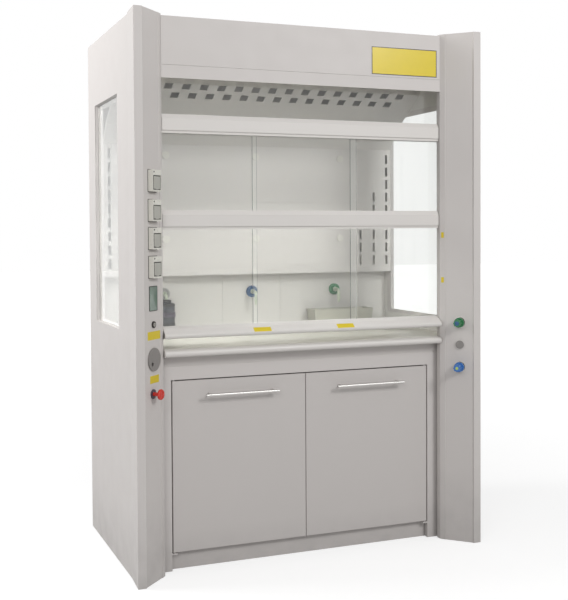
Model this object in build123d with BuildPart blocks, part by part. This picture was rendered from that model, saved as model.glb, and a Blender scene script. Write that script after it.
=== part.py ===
from build123d import *
import os
from math import atan2, cos, radians, sin, sqrt

# Overall sizes, in millimetres
hood_width = 1500.0        # over the outer faces of the side panels
hood_depth = 884.0         # front strip of the corner posts to the back panel
cover_height = 2190.0      # floor to the top of the header, roof and side panels
post_rise = 6.0            # corner posts above the cover
sheet = 2.0                # folded steel sheet
seat_gap = 0.3             # between pieces that are fitted side by side
joint_gap = 1.0            # visible joint between two fascia or lining sheets
running_gap = 0.05         # radial, for a pin or shaft in its bore

# Corner posts, in plan: distances in from the side plane and back from the front plane
post_flare = 8.6
post_depth = 132.0
strip_width = 25.0
bevel_inset = 2.0
bevel_setback = 7.0
bevel_run = 83.0
lip_step = 2.0
lip_width = 17.0
lip_rise = 18.0

# Side walls and their windows
wall_depth = 36.0
lining = 6.0
lining_setback = 178.0
window_rise = 68.0         # lower edge of the opening above the worktop
window_drop = 281.0        # upper edge below the cover
window_front = 317.0
window_margin = 140.0      # rear edge to the back panel
splay_bottom = 8.0         # how far each edge of the opening moves from outside to inside
splay_top = 17.0
splay_front = 32.0
splay_rear = 28.0
window_frame_width = 9.0
window_glass = 6.0
window_glass_inset = 12.0
glass_engagement = 4.0

# Header, roof and exhaust collar
header_setback = 107.0
header_height = 240.0
header_lower = 51.0        # lower fascia, up to the joint
header_lip = 2.5
collar_radius = 125.0
collar_height = 60.0
collar_flange = 20.0
collar_margin = 284.0      # middle of the collar to the back panel

# Worktop, its frame and the front sill
worktop_top = 890.0
worktop_thickness = 28.0
worktop_front = 118.0
frame_height = 46.0
frame_setback = 150.0
frame_tail = 20.0          # of the worktop frame behind the rear lining's face
frame_side_width = 80.0
frame_rear_width = 40.0
frame_overlap = 6.0
sill_nose = 88.0
sill_drop = 1.0            # top of the sill below the worktop
sill_slit = 2.0
sill_lip = 1.7
sill_brow = 16.0
sill_brow_drop = 3.0
sill_chin = 8.0

# Rear wall and baffles
rear_space = 104.0         # rear lining's face to the back panel
rear_joint = 146.0
baffle_gap = 63.0          # face of the baffles to the rear lining
baffle_thickness = 5.0
baffle_rise = 84.0         # lower edge above the taps
baffle_joint_shift = 37.5  # joint above the middle of the upright part
bend_drop = 77.0           # bend below the knee
knee_step = 49.0           # knee forward of the upright part
baffle_pitch = 34.5        # degrees above level, of the perforated part
slot_width = 12.0
slot_height = 44.0
slot_pitch = 61.6
slot_rise = 58.0           # middle of the lowest slots above the lower edge
slot_insets = (60.0, 130.0, 202.0)
slot_counts = (9, 6, 3)
hole_width = 36.0
hole_length = 34.0
hole_pitch = 79.5
hole_shift = -17.0
upper_row = 150.8          # middle of a row of holes, down the slope from its upper end
lower_row = 206.2
stud_inset = 278.0         # outer studs to the side lining
stud_rise = 167.0          # lower studs above the lower edge
stud_drop = 49.0           # upper studs below the bend
stud_head_radius = 17.0
stud_head_depth = 6.0
stud_spacer_radius = 10.0
stud_bolt_radius = 4.0

# Ceiling, light and the fixed glass behind the header
ceiling_drop = 134.0       # below the cover
ceiling_thickness = 4.0
ceiling_front = 170.0
ceiling_rear = 330.0
light_inset = 214.0        # end of the light opening to the side lining
light_width = 100.0
light_setback = 250.0
light_height = 45.0
light_glass = 6.0
light_margin = 10.0
tube_radius = 9.0
tube_spacing = 44.0
upper_glass_height = 270.0
upper_glass_thickness = 5.0
upper_glass_overlap = 8.0

# Sash
sash_bar_setback = 113.0
sash_bar_inset = 3.0       # end of a bar to the corner post
sash_face_gap = 2.0        # behind the corner posts
sash_rise = 38.0           # handle rail above the worktop
handle_rail_height = 49.0
top_rail_drop = 49.0       # its lower edge below that of the upper glass
mid_rail_drop = 377.0      # its lower edge below that of the top rail
rail_height = 75.0
rail_lip_height = 11.0
rail_lip_setback = 5.0
rail_chamfer_height = 18.0
rail_chamfer_depth = 11.0
handle_slope_depth = 22.0
handle_slope_drop = 9.0
handle_brow_depth = 38.0
handle_brow_drop = 22.0
handle_nose_depth = 46.0
handle_nose_drop = 32.0
handle_chin_depth = 42.0
handle_chin_rise = 6.0
stile_gap = 8.0
stile_width = 64.0
stile_groove = 6.5
stile_pocket = 9.0
pane_thickness = 5.0
pane_play = 0.5
pane_top_play = 5.0
pane_engagement = 6.3      # of the outer panes in the stiles
pane_overlap = 21.0
track_pitch = 8.0
track_margin = 5.0
track_depth = 25.0
backing_thickness = 4.0
profile_wall = 2.5         # of the hollow rails and stiles

# Sash guides, belts, pulleys and counterweights
guide_base_width = 24.0
guide_base_depth = 3.0
guide_tongue_width = 14.0
guide_tongue_depth = 9.0
guide_bottom = 880.0
guide_gap = 4.0            # below the cover
belt_inset = 13.0
belt_width = 10.0
belt_thickness = 3.0
belt_front = 170.3
pulley_radius = 32.4
pulley_flange = 38.0
pulley_play = 0.5
pulley_flange_width = 1.5
shoe_height = 815.0
shoe_boss_radius = 12.0
shaft_drop = 60.0          # below the cover
shaft_radius = 8.0
shaft_end = 4.0
bearing_inset = 40.0
bearing_thickness = 12.0
bearing_width = 36.0
bearing_cap = 14.0
lug_drop = 237.0           # below the top rail
lug_height = 60.0
lug_wall = 2.4
weight_inset = 5.0
weight_thickness = 22.0
weight_front = 187.0
weight_width = 85.0
weight_drop = 70.0         # below the shaft
weight_height = 825.0

# Cabinet under the worktop
face_setback = 147.0
face_thickness = 18.0
face_stile = 138.0
face_head = 53.0
door_side_gap = 5.0
door_split = 3.0
door_top_gap = 5.0
door_thickness = 20.0
door_chamfer = 1.0
pivot_inset = 7.0
pivot_depth = 8.0
pivot_radius = 4.0
pivot_length = 11.0
ear_size = 22.0
ear_thickness = 6.0
ear_drop = 4.0
pull_length = 314.0
pull_drop = 59.0           # below the top of the doors
pull_radius = 6.0
pull_reach = 35.0
pull_foot_inset = 20.0
pull_foot_radius = 4.5
panel_thickness = 18.0
carcass_gap = 24.0         # back of the cabinet to the back panel's outer face
plinth_setback = 172.0
plinth_top = 70.0
shelf_height = 400.0
shelf_front = 205.0
shelf_tail = 5.0           # rear edge ahead of the worktop frame's

# Taps, trough and trap on the rear wall
tap_rise = 176.0           # above the worktop
tap_inset = 282.0          # outer taps to the side lining
tap_disc_radius = 27.5
tap_disc_depth = 13.0
tap_disc_chamfer = 3.0
tap_pipe_radius = 7.0
tap_tail = 30.0
tap_foot_height = 120.0
tap_reach = 56.0
tap_drop = 60.0
tap_bend_radius = 15.0
tap_tip_radius = 4.5
tap_tip_length = 22.0
tap_bore_radius = 2.5
tap_bore_depth = 15.0
trough_inset = 118.0       # its end to the side lining
trough_width = 312.0
trough_depth = 100.0
trough_height = 85.0
trough_draft = 10.0
trough_wall = 4.0
drain_radius = 20.0
drain_wall = 3.0
drain_drop = 62.0          # of its lower end under the worktop
jar_radius = 38.5
jar_wall = 3.0
jar_rise = 31.0            # above the worktop
jar_height = 107.0
jar_round = 12.0
jar_cap_radius = 22.0
jar_cap_height = 12.0
jar_wall_gap = 5.0
band_rise = 41.0           # above the bottom of the jar
band_height = 24.0
band_wall = 2.5
band_plate_width = 60.0

# Controls on the bevelled faces: distances along a face from its outer edge
control_line = 64.0
socket_rises = (449.5, 336.5, 229.5, 120.0)    # above the display
socket_width = 64.0
socket_length = 83.0
socket_depth = 22.0
socket_round = 3.0
lid_width = 56.0
lid_length = 54.0
lid_thickness = 6.0
lid_gap = 1.0
lid_drop = 7.0             # middle of the lid below the middle of its box
lid_pin_radius = 1.2
lid_pin_length = 2.5
socket_well_radius = 19.5
socket_well_depth = 10.0
contact_radius = 2.4
contact_spacing = 19.0
contact_depth = 4.0
display_rise = 100.0       # above the key switch
display_width = 61.0
display_length = 96.0
display_proud = 2.0
display_margin = 6.0
display_body_depth = 30.0
key_rise = 134.0           # above the grommet
key_bezel_radius = 13.0
key_bezel_depth = 5.0
key_neck_radius = 10.5
key_neck_length = 20.0
key_radius = 7.5
key_proud = 1.0
key_slot_width = 2.0
key_slot_length = 9.0
key_slot_depth = 6.0
grommet_rise = 132.0       # above the stop switch
grommet_radius = 44.5
grommet_thickness = 6.0
grommet_neck_radius = 38.0
grommet_neck_length = 14.0
grommet_wall = 3.0
grommet_notch_radius = 8.0
grommet_notch_reach = 24.0
stop_height = 730.0
stop_line = 57.0
stop_collar_radius = 18.5
stop_collar_depth = 4.0
stop_neck_radius = 11.0
stop_neck_length = 26.0
stop_stem_radius = 7.5
stop_stem_tail = 30.0      # of the stem behind the bevelled face
stop_button_radius = 20.5
stop_button_start = 28.0
stop_button_depth = 13.0
stop_button_round = 5.0
valve_line = 55.0
valve_height = 760.0       # of the lower one
valve_pitch = 192.0
valve_names = ("water", "air")
valve_flange_radius = 23.0
valve_flange_depth = 5.0
valve_body_radius = 15.0
valve_body_depth = 60.0
spindle_radius = 5.0
spindle_reach = 40.0
knob_start = 6.0
knob_reach = 60.0
knob_skirt_radius = 21.0
knob_skirt_depth = 14.0
knob_radius = 15.5
knob_chamfer = 1.0
knob_bore_end = 42.0
knob_flutes = 8
knob_flute_radius = 2.5
plug_radius = 17.5
plug_depth = 5.0
plug_neck_radius = 14.0
plug_neck_length = 12.0

# Worked out from the sizes above
half = hood_width / 2
root_half = sqrt(0.5)
knob_overhang = ((knob_reach + knob_radius - knob_chamfer - valve_line) * root_half
                 - bevel_setback)
front = (knob_overhang - hood_depth) / 2
hood_height = cover_height + post_rise
bevel_x = strip_width + bevel_inset
post_width = bevel_x + bevel_run + lip_width
opening_half = half - post_width
wall_half = half - wall_depth
header_half = opening_half - seat_gap
bar_half = opening_half - sash_bar_inset
frame_half = wall_half + frame_overlap
worktop_bottom = worktop_top - worktop_thickness
frame_bottom = worktop_bottom - frame_height
window_bottom = worktop_top + window_rise
window_top = cover_height - window_drop
window_rear = hood_depth - window_margin
header_bottom = cover_height - header_height
header_seam = header_bottom + header_lower
collar_setback = hood_depth - collar_margin
rear_setback = hood_depth - rear_space
frame_rear = rear_setback + frame_tail
carcass_back = hood_depth - carcass_gap
ceiling_height = cover_height - ceiling_drop
upper_glass_bottom = ceiling_height - upper_glass_height
light_length = 2 * (wall_half - light_inset)
sash_bottom = worktop_top + sash_rise
top_rail_bottom = upper_glass_bottom - top_rail_drop
mid_rail_bottom = top_rail_bottom - mid_rail_drop
sash_face = post_depth + sash_face_gap
tracks = [sash_face + track_margin + index * track_pitch for index in range(3)]
sash_back = tracks[-1] + pane_thickness + track_margin
sash_top = top_rail_bottom + rail_height
rail_half = half - stile_gap - stile_width - seat_gap
pane_width = 2 * (rail_half + pane_engagement + pane_overlap) / 3
track_floor = sash_bottom + handle_rail_height - track_depth
track_ceiling = top_rail_bottom + track_depth
guide_centre = (sash_face + sash_back) / 2
shaft_height = cover_height - shaft_drop
lug_bottom = top_rail_bottom - lug_drop
weight_top = shaft_height - weight_drop
loop_radius = pulley_radius + seat_gap
loop_centre = belt_front + belt_thickness + loop_radius
door_opening = 2 * (frame_half - face_stile)
door_opening_top = frame_bottom - face_head
door_bottom = plinth_top + ear_drop
door_top = door_opening_top - door_top_gap
pivot_x = door_opening / 2 - door_side_gap - pivot_inset
tap_height = worktop_top + tap_rise
tap_spacing = wall_half - tap_inset
trough_x = wall_half - trough_inset - trough_width / 2
drain_setback = rear_setback - seat_gap - trough_depth / 2
jar_bottom = worktop_top + jar_rise
jar_setback = rear_setback - jar_wall_gap - jar_radius
tap_xs = (-tap_spacing, 0.0, tap_spacing)
grommet_height = stop_height + grommet_rise
key_height = grommet_height + key_rise
display_height = key_height + display_rise
socket_heights = [display_height + rise for rise in socket_rises]
valve_heights = (valve_height + valve_pitch, valve_height)
plug_height = valve_height + valve_pitch / 2
sides = ((-1, "left"), (1, "right"))


def y_at(setback):
    """World y of a distance back from the front plane"""
    return front + setback


def depth_span(near, far):
    """World y span between two distances back from the front plane"""
    return (y_at(near), y_at(far))


def inward(side, near, far):
    """World x span between two distances in from a side plane: -1 is left, 1 is right"""
    return sorted((side * (half - near), side * (half - far)))


def slab(x_span, y_span, z_span, mode=Mode.ADD):
    """A box in the open part, from its span along each axis"""
    spans = (x_span, y_span, z_span)
    with Locations(tuple(sum(span) / 2 for span in spans)):
        Box(*(high - low for low, high in spans), mode=mode)


def section(points, half_length):
    """A prism along x in the open part, from (setback, height) points"""
    with BuildSketch(Plane.YZ.offset(-half_length)) as face:
        Polygon(*((y_at(setback), height) for setback, height in points), align=None)
    extrude(face.sketch, amount=2 * half_length)


def bevel_plane(side, along, height):
    """The plane on a post's bevelled face, facing out, at a place on it"""
    inset = bevel_x + along * root_half
    setback = bevel_setback + along * root_half
    origin = (side * (half - inset), y_at(setback), height)
    return Plane(origin=origin, x_dir=(1, -side, 0), z_dir=(-side, -1, 0))


def disc(plane, radius, start, depth, mode=Mode.ADD):
    """A round boss or hole in the open part, from start to start + depth off a plane"""
    with BuildSketch(plane.offset(start)) as face:
        Circle(radius)
    extrude(face.sketch, amount=depth, mode=mode)


def block(plane, width, length, start, depth, mode=Mode.ADD):
    """A rectangular boss or pocket in the open part, from start to start + depth"""
    with BuildSketch(plane.offset(start)) as face:
        Rectangle(width, length)
    extrude(face.sketch, amount=depth, mode=mode)


def upright(x, setback, height):
    """A level plane facing up"""
    return Plane(origin=(x, y_at(setback), height))


def facing_back(x, setback, height):
    """An upright plane facing the rear"""
    return Plane(origin=(x, y_at(setback), height), x_dir=(1, 0, 0), z_dir=(0, 1, 0))


def facing_right(x, setback, height):
    """An upright plane facing the right-hand side"""
    return Plane(origin=(x, y_at(setback), height), x_dir=(0, 1, 0), z_dir=(1, 0, 0))


def save(part, name):
    """Labels a finished piece and writes it as one STEP file"""
    part.label = name
    export_step(part, f"parts/{name}.step")


os.makedirs("parts", exist_ok=True)


# Side panels: the outer skin of each side wall, with the window opening
def side_panel(side):
    with BuildPart() as panel:
        slab(inward(side, 0, sheet), depth_span(post_depth, hood_depth), (0, cover_height))
        slab(inward(side, -sheet, 2 * sheet), depth_span(window_front, window_rear),
             (window_bottom, window_top), Mode.SUBTRACT)
    return panel.part


for side, name in sides:
    save(side_panel(side), f"side_panel_{name}")

# Side linings: inner skins of the walls, folded out to the side panels at the front
ring_front = window_front - splay_front - window_frame_width
ring_rear = window_rear + window_frame_width
ring_bottom = window_bottom - window_frame_width
ring_top = window_top + window_frame_width
lining_rear = rear_setback + lining
with BuildPart() as side_liners:
    lining_face = inward(-1, wall_depth - lining, wall_depth)
    slab(lining_face, depth_span(lining_setback, lining_rear), (worktop_bottom, ceiling_height))
    slab(lining_face, depth_span(ceiling_rear, lining_rear),
         (ceiling_height, cover_height - sheet))
    slab(inward(-1, sheet, wall_depth), depth_span(lining_setback, lining_setback + lining),
         (worktop_bottom, ceiling_height))
    slab(inward(-1, sheet, wall_depth + sheet), depth_span(ring_front, ring_rear),
         (ring_bottom, ring_top), Mode.SUBTRACT)
    mirror(about=Plane.YZ)
save(side_liners.part, "side_liners")

# Window frames: rings through the side walls, with a splayed opening and a glass pocket
with BuildPart() as window_frames:
    slab(inward(-1, sheet, wall_depth), depth_span(ring_front + seat_gap, ring_rear - seat_gap),
         (ring_bottom + seat_gap, ring_top - seat_gap))
    for inset, splay in ((sheet, 0), (wall_depth, 1)):
        y_low, y_high = depth_span(window_front - splay * splay_front,
                                   window_rear - splay * splay_rear)
        z_low = window_bottom + splay * splay_bottom
        z_high = window_top - splay * splay_top
        with BuildSketch(Plane.YZ.offset(inset - half)):
            with Locations(((y_low + y_high) / 2, (z_low + z_high) / 2)):
                Rectangle(y_high - y_low, z_high - z_low)
    loft(mode=Mode.SUBTRACT)
    slab(inward(-1, window_glass_inset - seat_gap, window_glass_inset + window_glass + seat_gap),
         depth_span(window_front - splay_front - seat_gap, window_rear + seat_gap),
         (window_bottom - glass_engagement - seat_gap,
          window_top + glass_engagement + seat_gap), Mode.SUBTRACT)
    mirror(about=Plane.YZ)
save(window_frames.part, "window_frames")

# Window panes: held in the pocket of each window frame
with BuildPart() as window_panes:
    slab(inward(-1, window_glass_inset, window_glass_inset + window_glass),
         depth_span(window_front - splay_front, window_rear),
         (window_bottom - glass_engagement, window_top + glass_engagement))
    mirror(about=Plane.YZ)
save(window_panes.part, "window_panes")


# Corner posts: hollow columns with a bevelled control face, closed at the top
def corner_post(side, round_holes):
    outline = ((-post_flare, 0), (strip_width, 0), (bevel_x, bevel_setback),
               (bevel_x + bevel_run, bevel_setback + bevel_run),
               (bevel_x + bevel_run + lip_step, bevel_setback + bevel_run - lip_step / 2),
               (post_width, bevel_setback + bevel_run + lip_rise),
               (post_width, post_depth), (0, post_depth))
    corners = [(side * (half - inset), y_at(setback)) for inset, setback in outline]
    with BuildPart() as post:
        with BuildSketch():
            Polygon(*corners, align=None)
        extrude(amount=hood_height)
        with BuildSketch():
            Polygon(*corners, align=None)
            offset(amount=-sheet, kind=Kind.INTERSECTION, mode=Mode.REPLACE)
        extrude(amount=hood_height - sheet, mode=Mode.SUBTRACT)
        for along, height, radius in round_holes:
            disc(bevel_plane(side, along, height), radius + seat_gap, -2 * sheet, 3 * sheet,
                 Mode.SUBTRACT)
        if side < 0:
            body_gap = 2 * (seat_gap - display_margin)
            block(bevel_plane(side, control_line, display_height), display_width + body_gap,
                  display_length + body_gap, -2 * sheet, 3 * sheet, Mode.SUBTRACT)
    return post.part


left_holes = ((control_line, key_height, key_neck_radius),
              (control_line, grommet_height, grommet_neck_radius),
              (stop_line, stop_height, stop_neck_radius))
right_holes = [(valve_line, height, valve_body_radius) for height in valve_heights]
right_holes.append((valve_line, plug_height, plug_neck_radius))
save(corner_post(-1, left_holes), "corner_post_left")
save(corner_post(1, right_holes), "corner_post_right")

# Header panels: a lower and an upper fascia between the posts, with a joint between them
with BuildPart() as header_panels:
    header_face = depth_span(header_setback, header_setback + sheet)
    header_rear = header_setback + sheet
    slab((-header_half, header_half), header_face, (header_bottom, header_seam - joint_gap / 2))
    slab((-header_half, header_half), depth_span(header_rear, header_rear + header_lip),
         (header_bottom, header_bottom + sheet))
    slab((-header_half, header_half), header_face, (header_seam + joint_gap / 2, cover_height))
    slab((-header_half, header_half), depth_span(header_rear, post_depth),
         (cover_height - sheet, cover_height))
save(header_panels.part, "header_panels")

# Roof panel: closes the top behind the header, with the exhaust opening
with BuildPart() as roof_panel:
    slab((-half + sheet, half - sheet), depth_span(post_depth + seat_gap, hood_depth - sheet),
         (cover_height - sheet, cover_height))
    disc(upright(0, collar_setback, cover_height), collar_radius - sheet, -2 * sheet, 3 * sheet,
         Mode.SUBTRACT)
save(roof_panel.part, "roof_panel")

# Duct collar: flanged tube that the exhaust duct slips over
with BuildPart() as duct_collar:
    collar_plane = upright(0, collar_setback, cover_height)
    disc(collar_plane, collar_radius + collar_flange, 0, sheet)
    disc(collar_plane, collar_radius, 0, collar_height)
    disc(collar_plane, collar_radius - sheet, 0, collar_height, Mode.SUBTRACT)
save(duct_collar.part, "duct_collar")

# Back panel: the outer skin of the rear
with BuildPart() as back_panel:
    slab((-half + sheet, half - sheet), depth_span(hood_depth - sheet, hood_depth),
         (0, cover_height))
save(back_panel.part, "back_panel")

# Rear lining: three sheets behind the baffles, drilled for the taps
with BuildPart() as rear_liner:
    rear_face = depth_span(rear_setback, lining_rear)
    rear_heights = (worktop_bottom, cover_height - sheet)
    slab((-rear_joint + joint_gap / 2, rear_joint - joint_gap / 2), rear_face, rear_heights)
    for side in (-1, 1):
        slab(sorted((side * (rear_joint + joint_gap / 2), side * wall_half)),
             rear_face, rear_heights)
    for x in tap_xs:
        disc(facing_back(x, rear_setback, tap_height), tap_pipe_radius + seat_gap,
             -lining, 3 * lining, Mode.SUBTRACT)
save(rear_liner.part, "rear_liner")

# Baffle panels: the two upright sheets, slotted near their ends
baffle_half = wall_half - seat_gap
baffle_setback = rear_setback - baffle_gap
knee_setback = baffle_setback - knee_step
baffle_end = ceiling_rear + seat_gap
pitch_angle = radians(baffle_pitch)
knee_height = (ceiling_height
               - (knee_setback - baffle_end) * sin(pitch_angle) / cos(pitch_angle))
bend_height = knee_height - bend_drop
baffle_bottom = tap_height + baffle_rise
baffle_joint_height = (baffle_bottom + bend_height) / 2 + baffle_joint_shift
stud_heights = (baffle_bottom + stud_rise, bend_height - stud_drop)
stud_xs = (stud_inset - wall_half, 0, wall_half - stud_inset)
with BuildPart() as baffle_panels:
    baffle_face = depth_span(baffle_setback, baffle_setback + baffle_thickness)
    for low, high in ((baffle_bottom, baffle_joint_height - joint_gap / 2),
                      (baffle_joint_height + joint_gap / 2, bend_height - seat_gap)):
        slab((-baffle_half, baffle_half), baffle_face, (low, high))
    for column_inset, count in zip(slot_insets, slot_counts):
        for row in range(count):
            for x in (column_inset - half, half - column_inset):
                block(facing_back(x, baffle_setback,
                                  baffle_bottom + slot_rise + row * slot_pitch),
                      slot_width, slot_height, -baffle_thickness, 3 * baffle_thickness,
                      Mode.SUBTRACT)
    for height in stud_heights:
        for x in stud_xs:
            disc(facing_back(x, baffle_setback, height), stud_bolt_radius + seat_gap,
                 -baffle_thickness, 3 * baffle_thickness, Mode.SUBTRACT)
save(baffle_panels.part, "baffle_panels")

# Upper baffle: bent forward over the chamber and perforated with two rows of holes
bend_angle = atan2(bend_drop, knee_step)
knee_lean = (bend_angle + pitch_angle) / 2
knee_reach = baffle_thickness / cos((bend_angle - pitch_angle) / 2)
hole_count = int(2 * baffle_half / hole_pitch)
with BuildPart() as baffle_upper:
    section(((baffle_setback, bend_height),
             (knee_setback, knee_height),
             (baffle_end, ceiling_height),
             (baffle_end + baffle_thickness * sin(pitch_angle),
              ceiling_height + baffle_thickness * cos(pitch_angle)),
             (knee_setback + knee_reach * sin(knee_lean),
              knee_height + knee_reach * cos(knee_lean)),
             (baffle_setback + baffle_thickness / sin(bend_angle), bend_height)),
            baffle_half)
    pitch_plane = Plane(origin=(hole_shift, y_at(baffle_end), ceiling_height), x_dir=(1, 0, 0),
                        z_dir=(0, -sin(pitch_angle), -cos(pitch_angle)))
    for distance, count in ((lower_row, hole_count - 1), (upper_row, hole_count)):
        with BuildSketch(pitch_plane.offset(-2 * baffle_thickness)):
            with Locations((0, -distance)):
                with GridLocations(hole_pitch, 1, count, 1):
                    Rectangle(hole_width, hole_length)
        extrude(amount=3 * baffle_thickness, mode=Mode.SUBTRACT)
save(baffle_upper.part, "baffle_upper")

# Baffle studs: bolts with a round head in front and a spacer to the rear lining
with BuildPart() as baffle_studs:
    for height in stud_heights:
        for x in stud_xs:
            stud = facing_back(x, baffle_setback, height)
            disc(stud, stud_head_radius, -stud_head_depth, stud_head_depth)
            disc(stud, stud_bolt_radius, 0, baffle_thickness)
            disc(stud, stud_spacer_radius, baffle_thickness,
                 rear_setback - baffle_setback - baffle_thickness)
save(baffle_studs.part, "baffle_studs")

# Ceiling panel: level over the front of the chamber, folded up to the roof at its rear
light_base = ceiling_height + ceiling_thickness
with BuildPart() as ceiling_panel:
    slab((-frame_half, frame_half), depth_span(ceiling_front, ceiling_rear - ceiling_thickness),
         (ceiling_height, light_base))
    slab((-wall_half, wall_half), depth_span(ceiling_rear - ceiling_thickness, ceiling_rear),
         (ceiling_height, cover_height - sheet))
    slab((-light_length / 2, light_length / 2),
         depth_span(light_setback - light_width / 2, light_setback + light_width / 2),
         (ceiling_height - ceiling_thickness, light_base + ceiling_thickness), Mode.SUBTRACT)
save(ceiling_panel.part, "ceiling_panel")

# Light: a glass pane over the ceiling opening, with a housing and two tubes above it
pane_half = light_length / 2 + light_margin
pane_reach = light_width / 2 + light_margin
with BuildPart() as light_pane:
    slab((-pane_half, pane_half),
         depth_span(light_setback - pane_reach, light_setback + pane_reach),
         (light_base, light_base + light_glass))
save(light_pane.part, "light_glass")
housing_half = pane_half + seat_gap
housing_reach = pane_reach + seat_gap
tube_height = light_base + (light_glass + light_height) / 2
with BuildPart() as light_unit:
    slab((-housing_half - sheet, housing_half + sheet),
         depth_span(light_setback - housing_reach - sheet, light_setback + housing_reach + sheet),
         (light_base, light_base + light_height))
    slab((-housing_half, housing_half),
         depth_span(light_setback - housing_reach, light_setback + housing_reach),
         (light_base, light_base + light_height - sheet), Mode.SUBTRACT)
    for shift in (-tube_spacing / 2, tube_spacing / 2):
        disc(facing_right(-housing_half, light_setback + shift, tube_height), tube_radius,
             0, 2 * housing_half)
save(light_unit.part, "light_unit")

# Upper glass: fixed pane behind the header, under the ceiling
with BuildPart() as upper_glass:
    glass_rear = lining_setback - seat_gap
    slab((-wall_half - upper_glass_overlap, wall_half + upper_glass_overlap),
         depth_span(glass_rear - upper_glass_thickness, glass_rear),
         (upper_glass_bottom, ceiling_height))
save(upper_glass.part, "upper_glass")

# Worktop: reaches forward between the posts and is drilled for the trough's drain
with BuildPart() as worktop:
    tongue_rear = post_depth + joint_gap
    slab((-wall_half + seat_gap, wall_half - seat_gap),
         depth_span(tongue_rear, rear_setback - seat_gap), (worktop_bottom, worktop_top))
    slab((-bar_half, bar_half), depth_span(worktop_front, tongue_rear),
         (worktop_bottom, worktop_top))
    disc(upright(trough_x, drain_setback, worktop_top), drain_radius + seat_gap,
         -2 * worktop_thickness, 3 * worktop_thickness, Mode.SUBTRACT)
save(worktop.part, "worktop")

# Worktop frame: a rectangular ring on the cabinet, its front rail is the apron
with BuildPart() as worktop_frame:
    slab((-frame_half, frame_half), depth_span(frame_setback, frame_rear),
         (frame_bottom, worktop_bottom))
    slab((-frame_half + frame_side_width, frame_half - frame_side_width),
         depth_span(frame_setback + panel_thickness, frame_rear - frame_rear_width),
         (frame_bottom, worktop_bottom), Mode.SUBTRACT)
save(worktop_frame.part, "worktop_frame")

# Front sill: rounded nosing in front of the worktop, with a lip under it to the frame
lip_top = worktop_bottom - seat_gap
with BuildPart() as front_sill:
    with BuildSketch(Plane.YZ.offset(-bar_half)):
        with BuildLine():
            slit_rear = y_at(worktop_front - sill_slit)
            brow = (y_at(sill_nose + sill_brow), worktop_top - sill_drop - sill_brow_drop)
            chin = (y_at(sill_nose + sill_chin), lip_top - sill_lip)
            nose = (y_at(sill_nose), (brow[1] + chin[1]) / 2)
            Polyline((slit_rear, lip_top), (slit_rear, worktop_top - sill_drop), brow)
            ThreePointArc(brow, nose, chin)
            Polyline(chin, (y_at(frame_setback), lip_top - sill_lip),
                     (y_at(frame_setback), lip_top), (slit_rear, lip_top))
        make_face()
    extrude(amount=2 * bar_half)
save(front_sill.part, "front_sill")

# Trough: tapered basin against the rear lining, its drain passes through the worktop
with BuildPart() as sink_trough:
    for wall, floor, mode in ((0, 0, Mode.ADD), (trough_wall, trough_wall, Mode.SUBTRACT)):
        for level, shrink in ((floor, trough_draft), (trough_height, 0)):
            with BuildSketch(upright(trough_x, drain_setback, worktop_top + level)):
                Rectangle(trough_width - 2 * (shrink + wall), trough_depth - 2 * (shrink + wall))
        loft(mode=mode)
    drain_plane = upright(trough_x, drain_setback, worktop_bottom - drain_drop)
    drain_length = worktop_thickness + drain_drop
    disc(drain_plane, drain_radius, 0, drain_length)
    disc(drain_plane, drain_radius - drain_wall, 0, drain_length + 2 * trough_wall,
         Mode.SUBTRACT)
save(sink_trough.part, "sink_trough")

# Tap discs: one round rosette for each tap
with BuildPart() as tap_discs:
    for x in tap_xs:
        disc(facing_back(x, rear_setback, tap_height), tap_disc_radius,
             -tap_disc_depth, tap_disc_depth)
    rims = tap_discs.edges().filter_by(GeomType.CIRCLE).group_by(Axis.Y)[0]
    chamfer(rims, tap_disc_chamfer)
    for x in tap_xs:
        disc(facing_back(x, rear_setback, tap_height), tap_pipe_radius + seat_gap,
             -2 * tap_disc_depth, 3 * tap_disc_depth, Mode.SUBTRACT)
save(tap_discs.part, "tap_discs")


# Tap pipes: each rises behind the lining, comes out through its disc and bends down
def tap_pipe(x, reach, tip_height):
    tail_y = y_at(lining_rear + tap_tail)
    bend_y = y_at(rear_setback - reach)
    with BuildPart() as pipe:
        with BuildLine() as route:
            FilletPolyline((x, tail_y, tap_foot_height), (x, tail_y, tap_height),
                           (x, bend_y, tap_height), (x, bend_y, tip_height),
                           radius=tap_bend_radius)
        with BuildSketch(Plane(origin=(x, tail_y, tap_foot_height))):
            Circle(tap_pipe_radius)
        sweep(path=route.line)
    return pipe.part


jar_spout_end = jar_bottom + jar_height + jar_cap_height
with BuildPart() as tap_pipes:
    add(tap_pipe(-tap_spacing, rear_setback - jar_setback, jar_spout_end))
    for x in tap_xs[1:]:
        tip_top = tap_height - tap_drop + tap_tip_length
        add(tap_pipe(x, tap_reach, tip_top))
        tip_plane = Plane(origin=(x, y_at(rear_setback - tap_reach), tip_top), z_dir=(0, 0, -1))
        with BuildSketch(tip_plane):
            Circle(tap_pipe_radius)
        with BuildSketch(tip_plane.offset(tap_tip_length)):
            Circle(tap_tip_radius)
        loft()
        disc(tip_plane, tap_bore_radius, tap_tip_length - tap_bore_depth, tap_bore_depth,
             Mode.SUBTRACT)
save(tap_pipes.part, "tap_pipes")

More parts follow.
